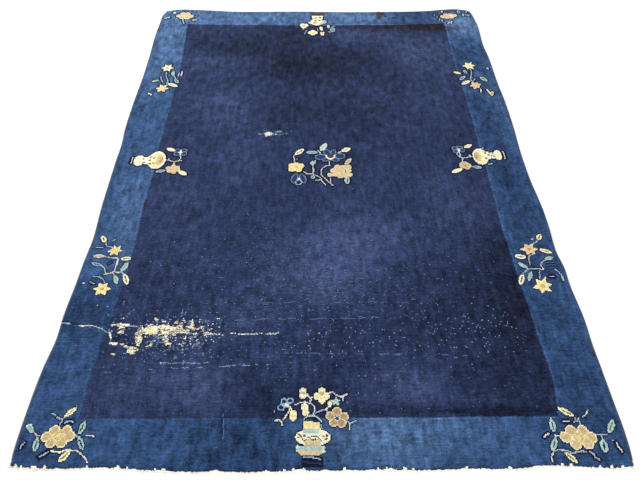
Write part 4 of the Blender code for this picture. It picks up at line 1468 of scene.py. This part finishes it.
def yarn_ends(name, roots, paths_of, radius, sides, material):
    """Loose ends of yarn as thin tapering tubes; paths_of gives each root's points."""
    points, faces = [], []
    for root in roots:
        path = paths_of(root)
        start = len(points)
        for k, at in enumerate(path):
            ahead = path[min(k + 1, len(path) - 1)] - path[max(k - 1, 0)]
            flat = Vector((-ahead.y, ahead.x, 0.0)).normalized()
            size = radius * (1.0 - 0.55 * k / (len(path) - 1))
            for n in range(sides):
                a = 2 * math.pi * (n + 0.5) / sides
                points.append(at + flat * (size * math.cos(a)) + Vector((0, 0, size * math.sin(a))))
        for k in range(len(path) - 1):
            for n in range(sides):
                a, b = start + k * sides + n, start + k * sides + (n + 1) % sides
                faces.append((a, b, b + sides, a + sides))
        faces.append(tuple(range(start, start + sides))[::-1])
        last = start + (len(path) - 1) * sides
        faces.append(tuple(range(last, last + sides)))
    return points, faces


WARP_ENDS = 460
WARP_RADIUS = 0.0006
WARP_REACH = (0.0015, 0.0065)
GROUND_ROWS = 12
GROUND_COLUMNS = 900
GROUND_DEPTH = 0.020        # how far the bare ground runs in under the worn pile


def near_edge(x):
    """Where the pile's near edge would be if it weren't worn, by metres across."""
    across = 0.5 + x / WIDTH
    return edges(np.clip(across, 0, 1), np.zeros_like(x))[2]


def build_fringe(material):
    """The cotton ground that shows at the near end, and the worn warp ends that stand out of it."""
    draw = np.random.default_rng(SEED + 5)
    left, right = place(np.array((0.0, 1.0)), np.zeros(2), (CORD_WIDTH + CLEARANCE, 0.0))[0]
    x = np.linspace(left, right, GROUND_COLUMNS)
    across, lengthways = shares_at(x, near_edge(x))
    depth = np.linspace(-STRIP_WIDTH, GROUND_DEPTH, GROUND_ROWS)
    ragged = 0.0008 * wander(x, x * 0, (0.004, 1.0), 7)
    grid_x = np.repeat(x[None], GROUND_ROWS, 0)
    grid_y = near_edge(x)[None] + depth[:, None] + ragged[None] * (depth[:, None] < 0)
    lift = bumps(RIPPLES, across, np.zeros_like(across))[None] * np.clip(1 + depth / STRIP_WIDTH, 0, 1)[:, None]
    ribs = 0.0003 * np.abs(np.sin(np.pi * x / 0.0032))[None]
    steps = np.clip((depth + STRIP_WIDTH) / 0.003, 0, 1)[:, None]
    high = lift + STRIP_HEIGHT * (0.45 + 0.55 * steps) + ribs
    top = np.stack([grid_x, grid_y, high], axis=-1)
    low = np.stack([grid_x, grid_y, lift + 0 * high], axis=-1)
    upper = np.arange(grid_x.size).reshape(grid_x.shape)
    lower = upper + upper.size
    sides = [(int(u[a]), int(l[a]), int(l[a + 1]), int(u[a + 1]))
             for u, l in zip((upper[0], upper[-1][::-1], upper[::-1, 0], upper[:, -1]),
                             (lower[0], lower[-1][::-1], lower[::-1, 0], lower[:, -1]))
             for a in range(len(u) - 1)]
    faces = quads(upper) + quads(lower.T) + sides
    ground = np.concatenate([top.reshape(-1, 3), low.reshape(-1, 3)])

    def warp_end(root):
        reach = draw.uniform(*WARP_REACH) * (1.6 if draw.random() < 0.12 else 1.0)
        slant = draw.normal(0.0, 0.45)
        at = Vector((root, float(near_edge(np.array([root]))[0]) - STRIP_WIDTH * 0.6, 0.0))
        bend = draw.normal(0.0, 0.3)
        path = []
        for k in range(5):
            f = k / 4
            off = Vector((slant * f + bend * f * f, -1.0 * f, 0.0)) * reach
            drop = WARP_RADIUS + STRIP_HEIGHT * 0.5 * (1 - f) ** 2
            path.append(at + off + Vector((0.0, 0.0, drop)))
        return path

    roots = np.sort(draw.uniform(left + 0.002, right - 0.002, WARP_ENDS))
    more, sheets = yarn_ends("warp_ends", roots, warp_end, WARP_RADIUS, 5, material)
    points = np.concatenate([ground, np.array(more)])
    faces += [tuple(v + len(ground) for v in face) for face in sheets]
    return mesh_piece("near_fringe", points, faces, material)


FRAY_ENDS = 46
FRAY_REACH = (0.005, 0.013)


def build_corner_fray(name, side, material):
    """The frayed end of a selvedge at a near corner."""
    hand = 1 - 2 * side
    draw = np.random.default_rng(SEED + 11 + side)

    def loose_end(root):
        turn = math.pi / 2 * min(max((root - 0.35) / 0.65, 0.0), 1.0)
        outward = Vector((-hand * math.cos(turn), -math.sin(turn), 0.0))
        down = TUFT_LENGTH * max(0.0, 1 - root / 0.35)
        x, y = place(np.array([float(side)]), np.array([down / LENGTH]), (CORNER_INSET * 2, 0.0))
        at = Vector((float(x[0]), float(y[0]), 0.0)) - outward * 0.001
        aside = Vector((-outward.y, outward.x, 0.0))
        reach = draw.uniform(*FRAY_REACH)
        slant, curl, wave = draw.normal(0.0, 0.35), draw.normal(0.0, 0.5), draw.uniform(0, 6.3)
        start = draw.uniform(0.0008, 0.0045)
        path = []
        for k in range(9):
            f = k / 8
            off = outward * f + aside * (slant * f + curl * f * f + 0.05 * math.sin(9 * f + wave))
            path.append(at + off * reach + Vector((0.0, 0.0, 0.0006 + start * (1 - f) ** 1.5)))
        return path

    roots = np.sort(draw.uniform(0.0, 1.0, FRAY_ENDS))
    points, faces = yarn_ends(name, roots, loose_end, 0.00045, 5, material)
    return mesh_piece(name, np.array(points), faces, material)


# Studio


def build_camera():
    """The photograph's place: standing at the near end and looking down along the rug."""
    camera = bpy.data.objects.new("camera", bpy.data.cameras.new("camera"))
    camera.data.lens = 29.25
    camera.data.sensor_width = 36.0
    camera.data.clip_end = 60.0
    camera.location = (CENTRE[0] - 0.003, CENTRE[1] - 1.374, 1.362)
    camera.rotation_euler = [math.radians(turn) for turn in (36.96, -0.11, -0.145)]
    bpy.context.scene.collection.objects.link(camera)
    bpy.context.scene.camera = camera


def area_light(name, place_of, size, power, aim):
    """A soft square light that looks at a point."""
    light = bpy.data.objects.new(name, bpy.data.lights.new(name, "AREA"))
    light.data.size = size
    light.data.energy = power
    light.location = place_of
    light.rotation_euler = (Vector(aim) - Vector(place_of)).to_track_quat("-Z", "Y").to_euler()
    bpy.context.scene.collection.objects.link(light)


def build_studio():
    """A white floor under soft light."""
    half = 9.0
    corners = [(-half, -half, -0.0006), (half, -half, -0.0006), (half, half, -0.0006), (-half, half, -0.0006)]
    paper = Finish("studio_paper", Roughness=1.0, Specular_IOR_Level=0.0)
    place = paper.own_place()
    paper.colour(paper.mixed(paper.noise(place, 2.0), (0.86, 0.86, 0.86), (0.88, 0.88, 0.88)))
    floor = mesh_piece("studio_floor", corners, [(0, 1, 2, 3)], paper.material, smooth=False)
    world = bpy.context.scene.world or bpy.data.worlds.new("studio")
    bpy.context.scene.world = world
    world.use_nodes = True
    sky = world.node_tree.nodes["Background"]
    sky.inputs["Color"].default_value = (1.0, 1.0, 1.0, 1.0)
    sky.inputs["Strength"].default_value = 0.95
    area_light("soft_key", (-1.6, 1.3, 2.6), 1.6, 60.0, (0.0, 0.0, 0.0))
    area_light("soft_fill", (1.5, -1.8, 2.4), 2.0, 24.0, (0.0, 0.0, 0.0))
    bpy.context.scene.view_settings.view_transform = "Standard"


build_camera()
build_studio()

pile = build_pile()
wool = knotted_yarn()
motifs = [
    cut_knots("near_border_knots", (near_left_spray(), near_right_spray(), near_vase()), wool),
    cut_knots("side_spray_knots", (
        left_side_spray(), right_side_spray(), left_upper_spray(), right_upper_spray(),
    ), wool),
    cut_knots("side_vase_knots", (left_side_vase(), right_side_vase()), wool),
    cut_knots("far_border_knots", (far_vase(), far_left_spray(), far_right_spray()), wool),
    cut_knots("centre_spray_knots", (centre_spray(),), wool),
    cut_knots("worn_ground_knots", (
        bare_patch(), slit(), worn_spot(), dark_stain(), dark_band(), crease_shading(), thin_wear(),
    ), wool),
    ragged_knots(wool),
]
left_cord = build_side_cord(
    "left_selvedge_wraps", 0,
    wrapping_yarn("left_selvedge_yarn", dye(66, 84, 110), dye(100, 112, 122), dye(118, 116, 98))
)
right_cord = build_side_cord(
    "right_selvedge_wraps", 1,
    wrapping_yarn("right_selvedge_yarn", dye(46, 60, 86), dye(72, 88, 116), dye(96, 98, 96))
)
binding = build_far_binding(
    wrapping_yarn("far_binding_yarn", dye(52, 58, 66), dye(84, 90, 98), dye(70, 62, 54))
)
fringe = build_fringe(undyed_cotton("worn_cotton_warp", dye(252, 247, 236, 0.95), dye(244, 232, 208, 0.95)))
fray = undyed_cotton("frayed_cotton", dye(252, 246, 234, 0.95), dye(242, 228, 206, 0.95))
left_fray = build_corner_fray("left_corner_fray", 0, fray)
right_fray = build_corner_fray("right_corner_fray", 1, fray)

stands_for = (
    (pile, "wool_pile", "rug_pile"),
    (left_cord, "overcast_yarn", "selvedge_left"),
    (right_cord, "overcast_yarn", "selvedge_right"),
    (binding, "binding_yarn", "end_binding_far"),
    (fringe, "cotton_warp", "fringe_near"),
    (left_fray, "cotton_warp", "corner_tuft_left"),
    (right_fray, "cotton_warp", "corner_tuft_right"),
)
for piece, slot, node in stands_for:
    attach(piece, "root")
    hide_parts(node)
for piece in motifs:
    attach(piece, "root")
trimmings = [piece for piece, _, _ in stands_for[1:]]
motifs + trimmings
